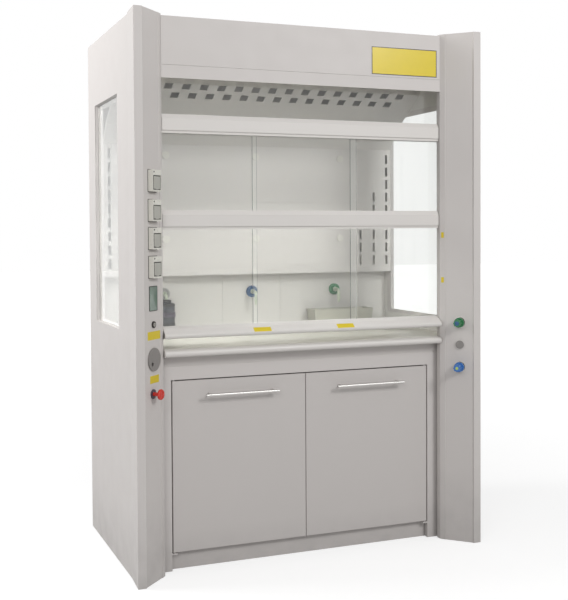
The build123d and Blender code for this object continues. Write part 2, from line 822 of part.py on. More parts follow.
# Trap jar: closed vessel under the suction tap, held to the lining by a band and plate
with BuildPart() as trap_jar:
    jar_plane = upright(-tap_spacing, jar_setback, jar_bottom)
    disc(jar_plane, jar_radius, 0, jar_height)
    fillet(trap_jar.edges().filter_by(GeomType.CIRCLE), jar_round)
    disc(jar_plane, jar_radius - jar_wall, jar_round, jar_height - 2 * jar_round,
         Mode.SUBTRACT)
    disc(jar_plane, jar_cap_radius, jar_height, jar_cap_height)
with BuildPart() as jar_band:
    band_heights = (jar_bottom + band_rise, jar_bottom + band_rise + band_height)
    band_plane = upright(-tap_spacing, jar_setback, band_heights[0])
    band_radius = jar_radius + seat_gap + band_wall
    slab((-tap_spacing - band_plate_width / 2, -tap_spacing + band_plate_width / 2),
         depth_span(rear_setback - band_wall, rear_setback), band_heights)
    slab((-tap_spacing - band_radius / 2, -tap_spacing + band_radius / 2),
         depth_span(jar_setback, rear_setback - band_wall), band_heights)
    disc(band_plane, band_radius, 0, band_height)
    disc(band_plane, jar_radius + seat_gap, 0, band_height, Mode.SUBTRACT)
save(Compound(children=[trap_jar.part, jar_band.part]), "trap_jar")

# Face frame: the stiles and head round the two doors, with a lug under each door's pivot
with BuildPart() as face_frame:
    slab((-frame_half, frame_half), depth_span(face_setback, face_setback + face_thickness),
         (0, frame_bottom))
    slab((-door_opening / 2, door_opening / 2),
         depth_span(face_setback, face_setback + face_thickness),
         (0, door_opening_top), Mode.SUBTRACT)
    for side in (-1, 1):
        slab(sorted((side * (door_opening / 2 - ear_size), side * door_opening / 2)),
             depth_span(face_setback, face_setback + face_thickness),
             (plinth_top - ear_thickness, plinth_top))
        disc(upright(side * pivot_x, face_setback + pivot_depth, plinth_top),
             pivot_radius + running_gap, -2 * ear_thickness, 3 * ear_thickness, Mode.SUBTRACT)
        disc(upright(side * pivot_x, face_setback + pivot_depth, door_opening_top),
             pivot_radius + running_gap, 0, pivot_length, Mode.SUBTRACT)
save(face_frame.part, "face_frame")

# Cabinet carcass: sides, back, base, shelf and the plinth under the doors
carcass_front = face_setback + face_thickness
inner_half = frame_half - panel_thickness
inner_rear = carcass_back - panel_thickness
with BuildPart() as cabinet_sides:
    for side in (-1, 1):
        slab(sorted((side * inner_half, side * frame_half)),
             depth_span(carcass_front, carcass_back), (0, frame_bottom))
    slab((-inner_half, inner_half), depth_span(inner_rear, carcass_back), (0, frame_bottom))
save(cabinet_sides.part, "cabinet_sides")
with BuildPart() as cabinet_base:
    base_front = plinth_setback + panel_thickness
    slab((-inner_half, inner_half), depth_span(plinth_setback, base_front), (0, plinth_top))
    slab((-inner_half, inner_half), depth_span(base_front, inner_rear),
         (plinth_top - panel_thickness, plinth_top))
    slab((-inner_half, inner_half), depth_span(shelf_front, frame_rear - shelf_tail),
         (shelf_height, shelf_height + panel_thickness))
save(cabinet_base.part, "cabinet_base")

# Sash guides: strips on the side panels with a tongue for the stiles' grooves
with BuildPart() as sash_guides:
    for width, start, depth in ((guide_base_width, sheet, guide_base_depth),
                                (guide_tongue_width, sheet + guide_base_depth,
                                 guide_tongue_depth)):
        slab(inward(-1, start, start + depth),
             depth_span(guide_centre - width / 2, guide_centre + width / 2),
             (guide_bottom, cover_height - guide_gap))
    mirror(about=Plane.YZ)
save(sash_guides.part, "sash_guides")

# Belts: closed loops between the top pulleys and the lower shoes
with BuildPart() as belts:
    with BuildSketch(facing_right(belt_inset - half, loop_centre,
                                  (shaft_height + shoe_height) / 2)):
        for radius, mode in ((loop_radius + belt_thickness, Mode.ADD),
                             (loop_radius, Mode.SUBTRACT)):
            SlotCenterToCenter(shaft_height - shoe_height, 2 * radius, rotation=90, mode=mode)
    extrude(amount=belt_width)
    mirror(about=Plane.YZ)
save(belts.part, "belts")


def pulley(x, height):
    """A flanged belt wheel in the open part, from the outer flange at x inwards"""
    width = belt_width + 2 * pulley_play
    disc(facing_right(x, loop_centre, height), pulley_flange, 0, pulley_flange_width)
    disc(facing_right(x, loop_centre, height), pulley_radius, pulley_flange_width, width)
    disc(facing_right(x, loop_centre, height), pulley_flange, pulley_flange_width + width,
         pulley_flange_width)


# Belt shoes: fixed wheels low on the side panels that the belts run round
pulley_x = belt_inset - pulley_play - pulley_flange_width - half
with BuildPart() as belt_shoes:
    pulley(pulley_x, shoe_height)
    disc(facing_right(-half + sheet, loop_centre, shoe_height), shoe_boss_radius,
         0, pulley_x + half - sheet)
    mirror(about=Plane.YZ)
save(belt_shoes.part, "belt_shoes")

# Drive shaft: joins the two top pulleys, so both ends of the sash rise together
with BuildPart() as drive_shaft:
    pulley(pulley_x, shaft_height)
    mirror(about=Plane.YZ)
    disc(facing_right(-half + shaft_end, loop_centre, shaft_height), shaft_radius,
         0, 2 * (half - shaft_end))
save(drive_shaft.part, "drive_shaft")

# Shaft bearings: blocks that stand on the ceiling panel
with BuildPart() as shaft_bearings:
    slab(inward(-1, bearing_inset, bearing_inset + bearing_thickness),
         depth_span(loop_centre - bearing_width / 2, loop_centre + bearing_width / 2),
         (light_base, shaft_height + bearing_cap))
    disc(facing_right(bearing_inset - half, loop_centre, shaft_height),
         shaft_radius + running_gap, 0, bearing_thickness, Mode.SUBTRACT)
    mirror(about=Plane.YZ)
save(shaft_bearings.part, "shaft_bearings")

# Counterweights: bars behind the stiles, each with a slot for the rear run of its belt
belt_rear = loop_centre + loop_radius
for side, name in sides:
    with BuildPart() as counterweight:
        weight_heights = (weight_top - weight_height, weight_top)
        slab(inward(side, weight_inset, weight_inset + weight_thickness),
             depth_span(weight_front, weight_front + weight_width), weight_heights)
        slab(inward(side, belt_inset - seat_gap, weight_inset + weight_thickness),
             depth_span(belt_rear - seat_gap, belt_rear + belt_thickness + seat_gap),
             weight_heights, Mode.SUBTRACT)
    save(counterweight.part, f"counterweight_{name}")

# Sash stiles: grooved for guides and panes, each with a lug round the front of its belt
with BuildPart() as sash_stiles:
    groove_reach = guide_tongue_width / 2 + seat_gap
    lug_inset = belt_inset - seat_gap - lug_wall
    belt_outer = belt_inset + belt_width
    slab(inward(-1, stile_gap, stile_gap + stile_width), depth_span(sash_face, sash_back),
         (sash_bottom, sash_top))
    slab(inward(-1, stile_gap, stile_gap + stile_groove),
         depth_span(guide_centre - groove_reach, guide_centre + groove_reach),
         (sash_bottom, sash_top), Mode.SUBTRACT)
    slab(inward(-1, stile_gap + stile_groove + profile_wall,
                stile_gap + stile_width - stile_pocket - profile_wall),
         depth_span(sash_face + profile_wall, sash_back - profile_wall),
         (sash_bottom, sash_top), Mode.SUBTRACT)
    slab(inward(-1, stile_gap + stile_width - stile_pocket, stile_gap + stile_width),
         depth_span(tracks[0] - pane_play, tracks[-1] + pane_thickness + pane_play),
         (track_floor, track_ceiling), Mode.SUBTRACT)
    slab(inward(-1, lug_inset, belt_outer + seat_gap + lug_wall),
         depth_span(sash_back, belt_front + belt_thickness + seat_gap + lug_wall),
         (lug_bottom, lug_bottom + lug_height))
    slab(inward(-1, belt_inset - seat_gap, belt_outer + seat_gap),
         depth_span(belt_front - seat_gap, belt_front + belt_thickness + seat_gap),
         (lug_bottom, lug_bottom + lug_height), Mode.SUBTRACT)
    mirror(about=Plane.YZ)
save(sash_stiles.part, "sash_stiles")

# Sash rails: two bars in front of the panes, the upper one also holds their tracks
with BuildPart() as sash_rails:
    for bottom, core_depth in ((mid_rail_bottom, backing_thickness),
                               (top_rail_bottom, sash_back - sash_face)):
        top = bottom + rail_height
        section(((sash_face, bottom),
                 (sash_bar_setback + rail_lip_setback, bottom),
                 (sash_bar_setback + rail_lip_setback, bottom + rail_lip_height),
                 (sash_bar_setback, bottom + rail_lip_height),
                 (sash_bar_setback, top - rail_chamfer_height),
                 (sash_bar_setback + rail_chamfer_depth, top),
                 (sash_face, top)), bar_half)
        slab((-rail_half, rail_half), depth_span(sash_face, sash_face + core_depth),
             (bottom, top))
        slab((-bar_half, bar_half),
             depth_span(sash_bar_setback + rail_lip_setback + profile_wall,
                        sash_face + backing_thickness - profile_wall),
             (bottom + profile_wall, top - rail_chamfer_height), Mode.SUBTRACT)
    slab((-rail_half, rail_half), depth_span(sash_face + profile_wall, sash_back - profile_wall),
         (track_ceiling + profile_wall, sash_top - profile_wall), Mode.SUBTRACT)
    for track in tracks:
        slab((-rail_half, rail_half),
             depth_span(track - pane_play, track + pane_thickness + pane_play),
             (top_rail_bottom, track_ceiling), Mode.SUBTRACT)

    # The handle rail under the panes: a rounded grip, with the lower tracks in its top
    with BuildSketch(Plane.YZ.offset(-bar_half)):
        with BuildLine():
            handle_top = sash_bottom + handle_rail_height
            slope = (y_at(sash_face - handle_slope_depth), handle_top - handle_slope_drop)
            brow = (y_at(sash_face - handle_brow_depth), handle_top - handle_brow_drop)
            nose = (y_at(sash_face - handle_nose_depth), handle_top - handle_nose_drop)
            chin = (y_at(sash_face - handle_chin_depth), sash_bottom + handle_chin_rise)
            Polyline((y_at(sash_face), sash_bottom), (y_at(sash_face), handle_top), slope, brow)
            ThreePointArc(brow, nose, chin)
            Polyline(chin, (y_at(sash_face), sash_bottom))
        make_face()
    extrude(amount=2 * bar_half)
    slab((-rail_half, rail_half), depth_span(sash_face, sash_back), (sash_bottom, handle_top))
    slab((-rail_half, rail_half), depth_span(sash_face + profile_wall, sash_back - profile_wall),
         (sash_bottom + profile_wall, track_floor - profile_wall), Mode.SUBTRACT)
    slab((-bar_half, bar_half),
         depth_span(sash_face - handle_brow_depth + profile_wall, sash_face),
         (chin[1] + profile_wall, brow[1] - profile_wall), Mode.SUBTRACT)
    for track in tracks:
        slab((-rail_half, rail_half),
             depth_span(track - pane_play, track + pane_thickness + pane_play),
             (track_floor, handle_top), Mode.SUBTRACT)
save(sash_rails.part, "sash_rails")

# Sash panes: the middle pane runs in front, the left one behind it and the right one last
pane_step = pane_width - pane_overlap
for middle, track, name in ((0, tracks[0], "centre"), (-pane_step, tracks[1], "left"),
                            (pane_step, tracks[2], "right")):
    with BuildPart() as sash_pane:
        slab((middle - pane_width / 2, middle + pane_width / 2),
             depth_span(track, track + pane_thickness),
             (track_floor + seat_gap, track_ceiling - pane_top_play))
    save(sash_pane.part, f"sash_pane_{name}")

# Doors: flat leaves on pivot pins
leaf_edge = door_opening / 2 - door_side_gap
for side, name in sides:
    with BuildPart() as door:
        slab(sorted((side * door_split / 2, side * leaf_edge)),
             depth_span(face_setback, face_setback + door_thickness), (door_bottom, door_top))
        chamfer(door.faces().sort_by(Axis.Y)[0].edges(), door_chamfer)
        for level, reach in ((door_bottom, -pivot_length), (door_top, pivot_length)):
            disc(upright(side * pivot_x, face_setback + pivot_depth, level), pivot_radius,
                 0, reach)
    save(door.part, f"door_{name}")

# Door pulls: round bars on two feet
for side, name in sides:
    with BuildPart() as pull:
        middle = side * (leaf_edge + door_split / 2) / 2
        bar_setback = face_setback - pull_reach
        disc(facing_right(middle - pull_length / 2, bar_setback, door_top - pull_drop), pull_radius,
             0, pull_length)
        for shift in (pull_foot_inset - pull_length / 2, pull_length / 2 - pull_foot_inset):
            disc(facing_back(middle + shift, bar_setback, door_top - pull_drop), pull_foot_radius,
                 0, pull_reach)
    save(pull.part, f"pull_{name}")


def lid_hinge(height):
    """The plane at the left end of a lid's hinge line, facing along it"""
    lid_plane = bevel_plane(-1, control_line, height - lid_drop)
    corner = lid_plane.from_local_coords((-lid_width / 2, (lid_length - lid_thickness) / 2,
                                          socket_depth - lid_thickness / 2))
    return Plane(origin=corner, x_dir=lid_plane.z_dir, z_dir=lid_plane.x_dir)


# Socket boxes: each with a recess for its lid, a round well and two contact holes
with BuildPart() as socket_boxes:
    recess_floor = socket_depth - lid_thickness - seat_gap
    well_floor = recess_floor - socket_well_depth
    for height in socket_heights:
        block(bevel_plane(-1, control_line, height), socket_width, socket_length,
              0, socket_depth)
    along_bevel = socket_boxes.edges().filter_by(Axis((0, 0, 0), (1, -1, 0)))
    fillet(along_bevel, socket_round)
    for height in socket_heights:
        lid_plane = bevel_plane(-1, control_line, height - lid_drop)
        block(lid_plane, lid_width + 2 * lid_gap, lid_length + 2 * lid_gap,
              recess_floor, socket_depth, Mode.SUBTRACT)
        disc(lid_plane, socket_well_radius, well_floor, socket_depth, Mode.SUBTRACT)
        for shift in (-contact_spacing / 2, contact_spacing / 2):
            disc(bevel_plane(-1, control_line + shift, height - lid_drop), contact_radius,
                 well_floor - contact_depth, contact_depth, Mode.SUBTRACT)
        disc(lid_hinge(height), lid_pin_radius + running_gap, -lid_pin_length - seat_gap,
             lid_width + 2 * (lid_pin_length + seat_gap), Mode.SUBTRACT)
save(socket_boxes.part, "socket_boxes")

# Socket lids: flaps with a rounded top edge on two pins
for index, height in enumerate(socket_heights, start=1):
    with BuildPart() as lid:
        flap_length = lid_length - lid_thickness / 2
        flap_drop = lid_drop + lid_thickness / 4
        block(bevel_plane(-1, control_line, height - flap_drop), lid_width, flap_length,
              socket_depth - lid_thickness, lid_thickness)
        disc(lid_hinge(height), lid_thickness / 2, 0, lid_width)
        disc(lid_hinge(height), lid_pin_radius, -lid_pin_length, lid_width + 2 * lid_pin_length)
    save(lid.part, f"socket_lid_{index}")

# Display: a shallow front with its body through the post
with BuildPart() as display:
    display_plane = bevel_plane(-1, control_line, display_height)
    block(display_plane, display_width, display_length, 0, display_proud)
    block(display_plane, display_width - 2 * display_margin, display_length - 2 * display_margin,
          -display_body_depth, display_body_depth)
save(display.part, "display")

# Key switch: a bezel through the post and the turning barrel inside it
key_plane = bevel_plane(-1, control_line, key_height)
with BuildPart() as key_switch:
    disc(key_plane, key_bezel_radius, 0, key_bezel_depth)
    disc(key_plane, key_neck_radius, -key_neck_length, key_neck_length)
    disc(key_plane, key_radius + running_gap, -key_neck_length, key_neck_length + key_bezel_depth,
         Mode.SUBTRACT)
save(key_switch.part, "key_switch")
with BuildPart() as key_barrel:
    barrel_front = key_bezel_depth + key_proud
    disc(key_plane, key_radius, -key_neck_length, key_neck_length + barrel_front)
    block(key_plane, key_slot_width, key_slot_length, barrel_front - key_slot_depth,
          key_slot_depth, Mode.SUBTRACT)
save(key_barrel.part, "key_barrel")

# Cable grommet: a round cover with a neck through the post and a hole for cords
with BuildPart() as cable_grommet:
    grommet_plane = bevel_plane(-1, control_line, grommet_height)
    notch_reach = grommet_notch_reach * root_half
    disc(grommet_plane, grommet_radius, 0, grommet_thickness)
    disc(grommet_plane, grommet_neck_radius, -grommet_neck_length, grommet_neck_length)
    disc(grommet_plane, grommet_neck_radius - grommet_wall, -grommet_neck_length,
         grommet_neck_length, Mode.SUBTRACT)
    disc(bevel_plane(-1, control_line - notch_reach, grommet_height - notch_reach),
         grommet_notch_radius, 0, grommet_thickness, Mode.SUBTRACT)
save(cable_grommet.part, "cable_grommet")

# Stop switch: a collar through the post and a mushroom button on a sliding stem
stop_plane = bevel_plane(-1, stop_line, stop_height)
with BuildPart() as stop_collar:
    disc(stop_plane, stop_collar_radius, 0, stop_collar_depth)
    disc(stop_plane, stop_neck_radius, -stop_neck_length, stop_neck_length)
    disc(stop_plane, stop_stem_radius + running_gap, -stop_neck_length,
         stop_neck_length + stop_collar_depth, Mode.SUBTRACT)
save(stop_collar.part, "stop_collar")
with BuildPart() as stop_button:
    disc(stop_plane, stop_button_radius, stop_button_start, stop_button_depth)
    fillet(stop_button.edges().filter_by(GeomType.CIRCLE), stop_button_round)
    disc(stop_plane, stop_stem_radius, -stop_stem_tail, stop_stem_tail + stop_button_start)
save(stop_button.part, "stop_button")

# Valve bodies: a flange and spindle outside the right post, the body inside it
with BuildPart() as valve_bodies:
    for height in valve_heights:
        valve_plane = bevel_plane(1, valve_line, height)
        disc(valve_plane, valve_flange_radius, 0, valve_flange_depth)
        disc(valve_plane, valve_body_radius, -valve_body_depth, valve_body_depth)
        disc(valve_plane, spindle_radius, 0, spindle_reach)
save(valve_bodies.part, "valve_bodies")

# Valve knobs: a skirt and a fluted grip on the spindle
for name, height in zip(valve_names, valve_heights):
    with BuildPart() as knob:
        valve_plane = bevel_plane(1, valve_line, height)
        disc(valve_plane, knob_skirt_radius, knob_start, knob_skirt_depth)
        disc(valve_plane, knob_radius, knob_start, knob_reach - knob_start)
        front_edge = knob.faces().sort_by(Axis((0, 0, 0), valve_plane.z_dir))[-1].edges()
        chamfer(front_edge, knob_chamfer)
        with BuildSketch(valve_plane.offset(knob_start + knob_skirt_depth)):
            with PolarLocations(knob_radius, knob_flutes, start_angle=180 / knob_flutes):
                Circle(knob_flute_radius)
        extrude(amount=knob_reach, mode=Mode.SUBTRACT)
        disc(valve_plane, spindle_radius + running_gap, knob_start, knob_bore_end - knob_start,
             Mode.SUBTRACT)
    save(knob.part, f"knob_{name}")

# Blank plug: closes the spare hole between the two valves
with BuildPart() as blank_plug:
    plug_plane = bevel_plane(1, valve_line, plug_height)
    disc(plug_plane, plug_radius, 0, plug_depth)
    disc(plug_plane, plug_neck_radius, -plug_neck_length, plug_neck_length)
save(blank_plug.part, "blank_plug")
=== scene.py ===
from math import atan2, pi, radians, sqrt

import bmesh
import bpy
from mathutils import Matrix, Vector


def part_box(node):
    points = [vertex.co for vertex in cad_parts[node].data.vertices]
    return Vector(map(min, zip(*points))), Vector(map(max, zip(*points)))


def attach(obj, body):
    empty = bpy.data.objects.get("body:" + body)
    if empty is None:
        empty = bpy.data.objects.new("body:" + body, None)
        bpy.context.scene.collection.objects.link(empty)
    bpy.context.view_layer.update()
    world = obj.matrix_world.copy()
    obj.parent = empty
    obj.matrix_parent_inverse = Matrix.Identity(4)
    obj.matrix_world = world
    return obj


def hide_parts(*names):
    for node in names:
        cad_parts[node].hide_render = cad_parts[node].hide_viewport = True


bl_info = {
    "name": "Fume Hood",
    "version": (1, 0, 0),
    "blender": (4, 5, 0),
    "location": "View3D > Sidebar > Fume Hood",
    "description": "Finishes and small parts of a laboratory fume hood, on its packed frame",
    "category": "Object",
}

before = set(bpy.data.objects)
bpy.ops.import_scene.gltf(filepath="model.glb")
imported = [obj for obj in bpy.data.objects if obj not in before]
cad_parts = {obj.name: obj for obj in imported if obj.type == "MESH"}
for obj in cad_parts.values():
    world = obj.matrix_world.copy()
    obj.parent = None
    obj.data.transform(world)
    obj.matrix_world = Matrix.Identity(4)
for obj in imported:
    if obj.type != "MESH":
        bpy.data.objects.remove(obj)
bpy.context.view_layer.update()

# Places that the small parts share with the frame, in millimetres
MM = 0.001
HALF_WIDTH = 750.0
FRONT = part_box("corner_post_left")[0].y / MM
BEVEL_INSET = 27.0
BEVEL_SETBACK = 7.0
ROOT_HALF = sqrt(0.5)
LEFT, RIGHT = -1, 1
CONTROL_LINE = 64.0
VALVE_LINE = 55.0
SOCKET_HEIGHTS = (1545.5, 1432.5, 1325.5, 1216.0)
LID_DROP = 7.0
DISPLAY_HEIGHT = 1096.0
WATER_KNOB_HEIGHT = 952.0
AIR_KNOB_HEIGHT = 760.0
KNOB_REACH = 60.0
TAP_SPACING = 432.0
TAP_HEIGHT = 1066.0
JAR_STANDOFF = 43.5
JAR_FOOT = 921.0
REAR_FACE = 780.0
HEADER_FACE = 107.0
ROOF_TOP = 2190.0
ROOF_SPAN = 1440.0
ROOF_FRONT_ROW = 158.0
ROOF_BACK_ROW = 866.0
COLLAR_SETBACK = 600.0
COLLAR_RADIUS = 125.0
FLANGE_SCREW_RADIUS = 135.0
BACK_WIDTH = 1496.0
BACK_HEIGHT = 2190.0
BACK_FACE = 882.0
BACK_FIELD = 365.0


def linear(code):
    """Turns an sRGB hex code into linear red, green and blue"""
    channels = [int(code[place:place + 2], 16) / 255 for place in (1, 3, 5)]
    return [c / 12.92 if c <= 0.04045 else ((c + 0.055) / 1.055) ** 2.4 for c in channels]


def colour(label, code, note):
    """A colour that the sidebar can change"""
    return bpy.props.FloatVectorProperty(name=label, description=note, default=linear(code),
                                         subtype="COLOR", size=3, min=0.0, max=1.0)


def length(label, size, note):
    """A size that the sidebar can change, given in millimetres"""
    return bpy.props.FloatProperty(name=label, description=note, default=size * MM,
                                   unit="LENGTH", subtype="DISTANCE", min=0.0)


class HoodColours(bpy.types.PropertyGroup):
    """Colours of the hood's finishes"""
    steel: colour("Sheet steel", "#D2CDCA", "Powder coat of the posts, panels and header")
    profile: colour("Sash bars", "#DDD9D5", "Coat of the sash bars, handle rail and sill")
    lining: colour("Lining", "#DBD8D3", "Laminate of the side and rear linings")
    baffle: colour("Baffles", "#DEDAD6", "Laminate of the three baffle sheets")
    worktop: colour("Worktop", "#D7D5CB", "Cast slab of the work surface")
    board: colour("Cabinet", "#CCC7C4", "Melamine of the doors and carcass")
    glass: colour("Glass", "#FEFFFE", "Safety glass of the sash, windows and light")
    trough: colour("Trough", "#B9B7AA", "Moulded basin")
    tube: colour("Tap tubes", "#C9D0BC", "Coat of the tap tubes")
    water: colour("Water tap", "#2F7A4C", "Disc and knob of the water tap")
    air: colour("Air tap", "#2F5A86", "Disc of the air tap")
    suction: colour("Suction tap", "#A6A5A2", "Disc of the suction tap")
    jar: colour("Jar", "#32373E", "Smoked plastic of the trap jar")
    housing: colour("Sockets", "#E1DFD6", "Socket housings")
    flap: colour("Socket lids", "#B4B3AB", "Lids of the sockets")
    seal: colour("Seals", "#3E3D3A", "Rubber round the lids and under the discs")
    screen: colour("Display", "#6C8274", "Glass of the display")
    cover: colour("Round cover", "#8B8784", "Cable cover and blank plug")
    stop: colour("Stop button", "#D5362A", "Mushroom of the stop switch")
    collar: colour("Stop collar", "#4A4250", "Collar of the stop switch")
    knob: colour("Air knob", "#3E76BC", "Moulded knob of the air valve")
    label: colour("Labels", "#DCC40F", "Film of the bare labels")
    ink: colour("Label border", "#37300F", "Printed border of the labels")
    floor: colour("Floor", "#BEBEBE", "Studio floor")


class HoodSizes(bpy.types.PropertyGroup):
    """Sizes of the small parts that the scene adds"""
    film: length("Label film", 0.6, "Thickness of the labels")
    label_border: length("Label border", 3.5, "Width of the printed border")
    seal_rim: length("Lid seal", 3.0, "Rubber rim round each socket lid")
    screw_head: length("Screw head", 11.0, "Diameter of the pan heads on roof and back")
    screw_pitch: length("Screw pitch", 240.0, "Distance between the panel screws")
    bead: length("Duct bead", 3.0, "Height of the rolled beads on the exhaust collar")


def sizes():
    """The sidebar's sizes"""
    return bpy.context.scene.hood_sizes


# Shader building
def node(tree, kind, sockets, **settings):
    """Adds one shader node with its settings, and feeds its sockets with values or links"""
    made = tree.nodes.new("ShaderNode" + kind)
    for name, value in settings.items():
        setattr(made, name, value)
    for name, value in sockets.items():
        if isinstance(value, bpy.types.NodeSocket):
            tree.links.new(value, made.inputs[name])
        else:
            made.inputs[name].default_value = value
    return made


def start_finish(name, tint, roughness, **plain):
    """A new material with plain values on its shader, and the coordinates its patterns follow"""
    material = bpy.data.materials.new(name)
    material.use_nodes = True
    tree = material.node_tree
    shader = tree.nodes["Principled BSDF"]
    shader.inputs["Base Color"].default_value = (*tint, 1)
    shader.inputs["Roughness"].default_value = roughness
    for socket, value in plain.items():
        shader.inputs[socket.replace("_", " ")].default_value = value
    material.diffuse_color = (*tint, 1)
    return material, tree, shader, tree.nodes.new("ShaderNodeTexCoord").outputs["Object"]


def drift(tree, shader, place, tint, patch, amount):
    """Lets the colour wander over patches of a size in millimetres; gives the colour socket"""
    cloud = node(tree, "TexNoise", {"Vector": place, "Scale": 1 / (patch * MM), "Detail": 4.0})
    low, high = ([min(1.0, c * (1 + sign * amount)) for c in tint] for sign in (-1, 1))
    mix = node(tree, "Mix", {0: cloud.outputs["Fac"], 6: (*low, 1), 7: (*high, 1)},
               data_type="RGBA")
    tree.links.new(mix.outputs[2], shader.inputs["Base Color"])
    return mix.outputs[2]


def uneven_gloss(tree, shader, place, patch, low, high):
    """Lets the roughness run between two values over patches of a size in millimetres"""
    cloud = node(tree, "TexNoise", {"Vector": place, "Scale": 1 / (patch * MM), "Detail": 5.0})
    span = node(tree, "MapRange", {"Value": cloud.outputs["Fac"], "From Min": 0.3,
                                   "From Max": 0.7, "To Min": low, "To Max": high})
    tree.links.new(span.outputs["Result"], shader.inputs["Roughness"])


def relief(tree, shader, place, grain, depth):
    """Raises a fine uneven surface of a grain size and depth in millimetres"""
    noise = node(tree, "TexNoise", {"Vector": place, "Scale": 1 / (grain * MM), "Detail": 2.0})
    bump = node(tree, "Bump", {"Height": noise.outputs["Fac"], "Distance": depth * MM,
                               "Strength": 1.0})
    tree.links.new(bump.outputs["Normal"], shader.inputs["Normal"])


def darker_towards_floor(tree, shader, place, even_colour, low_tint, height):
    """Darkens the lowest part in uneven patches, up to a height in millimetres"""
    cloud = node(tree, "TexNoise", {"Vector": place, "Scale": 14.0, "Detail": 6.0})
    up = node(tree, "SeparateXYZ", {"Vector": place})
    near = node(tree, "MapRange", {"Value": up.outputs["Z"], "From Min": 0.0,
                                   "From Max": height * MM, "To Min": 1.0, "To Max": 0.0})
    share = node(tree, "Math", {0: near.outputs["Result"], 1: cloud.outputs["Fac"]},
                 operation="MULTIPLY")
    mix = node(tree, "Mix", {0: share.outputs["Value"], 6: even_colour, 7: (*low_tint, 1)},
               data_type="RGBA")
    tree.links.new(mix.outputs[2], shader.inputs["Base Color"])


# Finishes
def powder_coated_steel(name, tint, darkening_height=0.0):
    """Folded sheet steel, sprayed with powder and baked"""
    # The baked film is a soft matt with a faint orange peel, so its highlights are broad.
    # Real peel is about 2 mm across; it is drawn at 9 mm, or it would not show.
    material, tree, shader, place = start_finish(name, tint, 0.5, Specular_IOR_Level=0.42)
    even_colour = drift(tree, shader, place, tint, 420, 0.012)
    # The coat gets darker towards the floor, up to the given height.
    if darkening_height:
        darker_towards_floor(tree, shader, place, even_colour, [c * 0.72 for c in tint], darkening_height)
    uneven_gloss(tree, shader, place, 60, 0.44, 0.56)
    relief(tree, shader, place, 9, 0.04)
    return material


def coated_aluminium(name, tint):
    """Extruded aluminium with a satin coat"""
    # A smoother film than on the steel, over faint die lines that run along the bar.
    material, tree, shader, place = start_finish(name, tint, 0.38, Specular_IOR_Level=0.5)
    drift(tree, shader, place, tint, 300, 0.01)
    uneven_gloss(tree, shader, place, 45, 0.32, 0.44)
    lines = node(tree, "Mapping", {"Vector": place, "Scale": (1.5, 260.0, 260.0)})
    relief(tree, shader, lines.outputs["Vector"], 1000, 0.03)
    return material


def phenolic_laminate(name, tint, shine=0.34):
    """Hard laminate sheet, pressed against a lightly textured plate"""
    # Pressing leaves a fine pebble and an even, slightly glossy skin.
    material, tree, shader, place = start_finish(name, tint, shine, Specular_IOR_Level=0.5)
    drift(tree, shader, place, tint, 260, 0.014)
    uneven_gloss(tree, shader, place, 30, shine - 0.05, shine + 0.07)
    relief(tree, shader, place, 5, 0.03)
    return material


def melamine_board(name, tint):
    """Chipboard faced with melamine paper, edges banded"""
    # Duller than the laminate, with a shallow pearl texture from the press.
    material, tree, shader, place = start_finish(name, tint, 0.55, Specular_IOR_Level=0.4)
    even_colour = drift(tree, shader, place, tint, 340, 0.016)
    # The board gets darker towards the floor, up to 160 mm.
    darker_towards_floor(tree, shader, place, even_colour, [c * 0.8 for c in tint], 160)
    uneven_gloss(tree, shader, place, 25, 0.48, 0.6)
    relief(tree, shader, place, 4, 0.05)
    return material


def safety_glass(name, tint):
    """Float glass, flat on both faces"""
    # Clear with a trace of green, and lamps pass through it, so the chamber stays light.
    material, tree, shader, place = start_finish(name, tint, 0.02, IOR=1.5,
                                                 Transmission_Weight=1.0)
    uneven_gloss(tree, shader, place, 180, 0.0, 0.05)
    path = tree.nodes.new("ShaderNodeLightPath")
    clear = node(tree, "BsdfTransparent", {"Color": (*tint, 1)})
    mix = node(tree, "MixShader", {0: path.outputs["Is Shadow Ray"],
                                   1: shader.outputs["BSDF"], 2: clear.outputs["BSDF"]})
    tree.links.new(mix.outputs["Shader"], tree.nodes["Material Output"].inputs["Surface"])
    return material


def cast_resin(name, tint):
    """Mineral-filled resin, cast and rubbed smooth"""
    # The filler shows as a very fine speckle under a satin face.
    # Its grains are under 1 mm; they are drawn at 3 mm.
    material, tree, shader, place = start_finish(name, tint, 0.3, Specular_IOR_Level=0.5)
    drift(tree, shader, place, tint, 3, 0.02)
    uneven_gloss(tree, shader, place, 50, 0.3, 0.38)
    return material


def moulded_plastic(name, tint, shine=0.35, grain=2.0):
    """Injection-moulded thermoplastic with a spark-eroded grain"""
    # Even through-colour; the mould's grain softens the highlight.
    material, tree, shader, place = start_finish(name, tint, shine, Specular_IOR_Level=0.5)
    drift(tree, shader, place, tint, 25, 0.03)
    uneven_gloss(tree, shader, place, 12, shine - 0.06, shine + 0.08)
    relief(tree, shader, place, grain, 0.03)
    return material


def smoked_plastic(name, tint):
    """Blow-moulded, dark and slightly see-through"""
    # Thick walls look nearly black, with a bluish light where they are thin.
    material, tree, shader, place = start_finish(name, tint, 0.12, Coat_Weight=0.5,
                                                 Coat_Roughness=0.05)
    drift(tree, shader, place, tint, 30, 0.25)
    uneven_gloss(tree, shader, place, 20, 0.08, 0.2)
    relief(tree, shader, place, 14, 0.2)
    return material


def drawn_steel(name, tint, roughness=0.3, along=(1.0, 1.0, 60.0)):
    """Bright bar or sheet with the fine lines of its die or belt"""
    # Lines along one way stretch the highlight across them.
    material, tree, shader, place = start_finish(name, tint, roughness, Metallic=1.0,
                                                 Anisotropic=0.4)
    lines = node(tree, "Mapping", {"Vector": place, "Scale": along})
    drift(tree, shader, lines.outputs["Vector"], tint, 12, 0.08)
    uneven_gloss(tree, shader, lines.outputs["Vector"], 8, roughness - 0.08, roughness + 0.1)
    return material


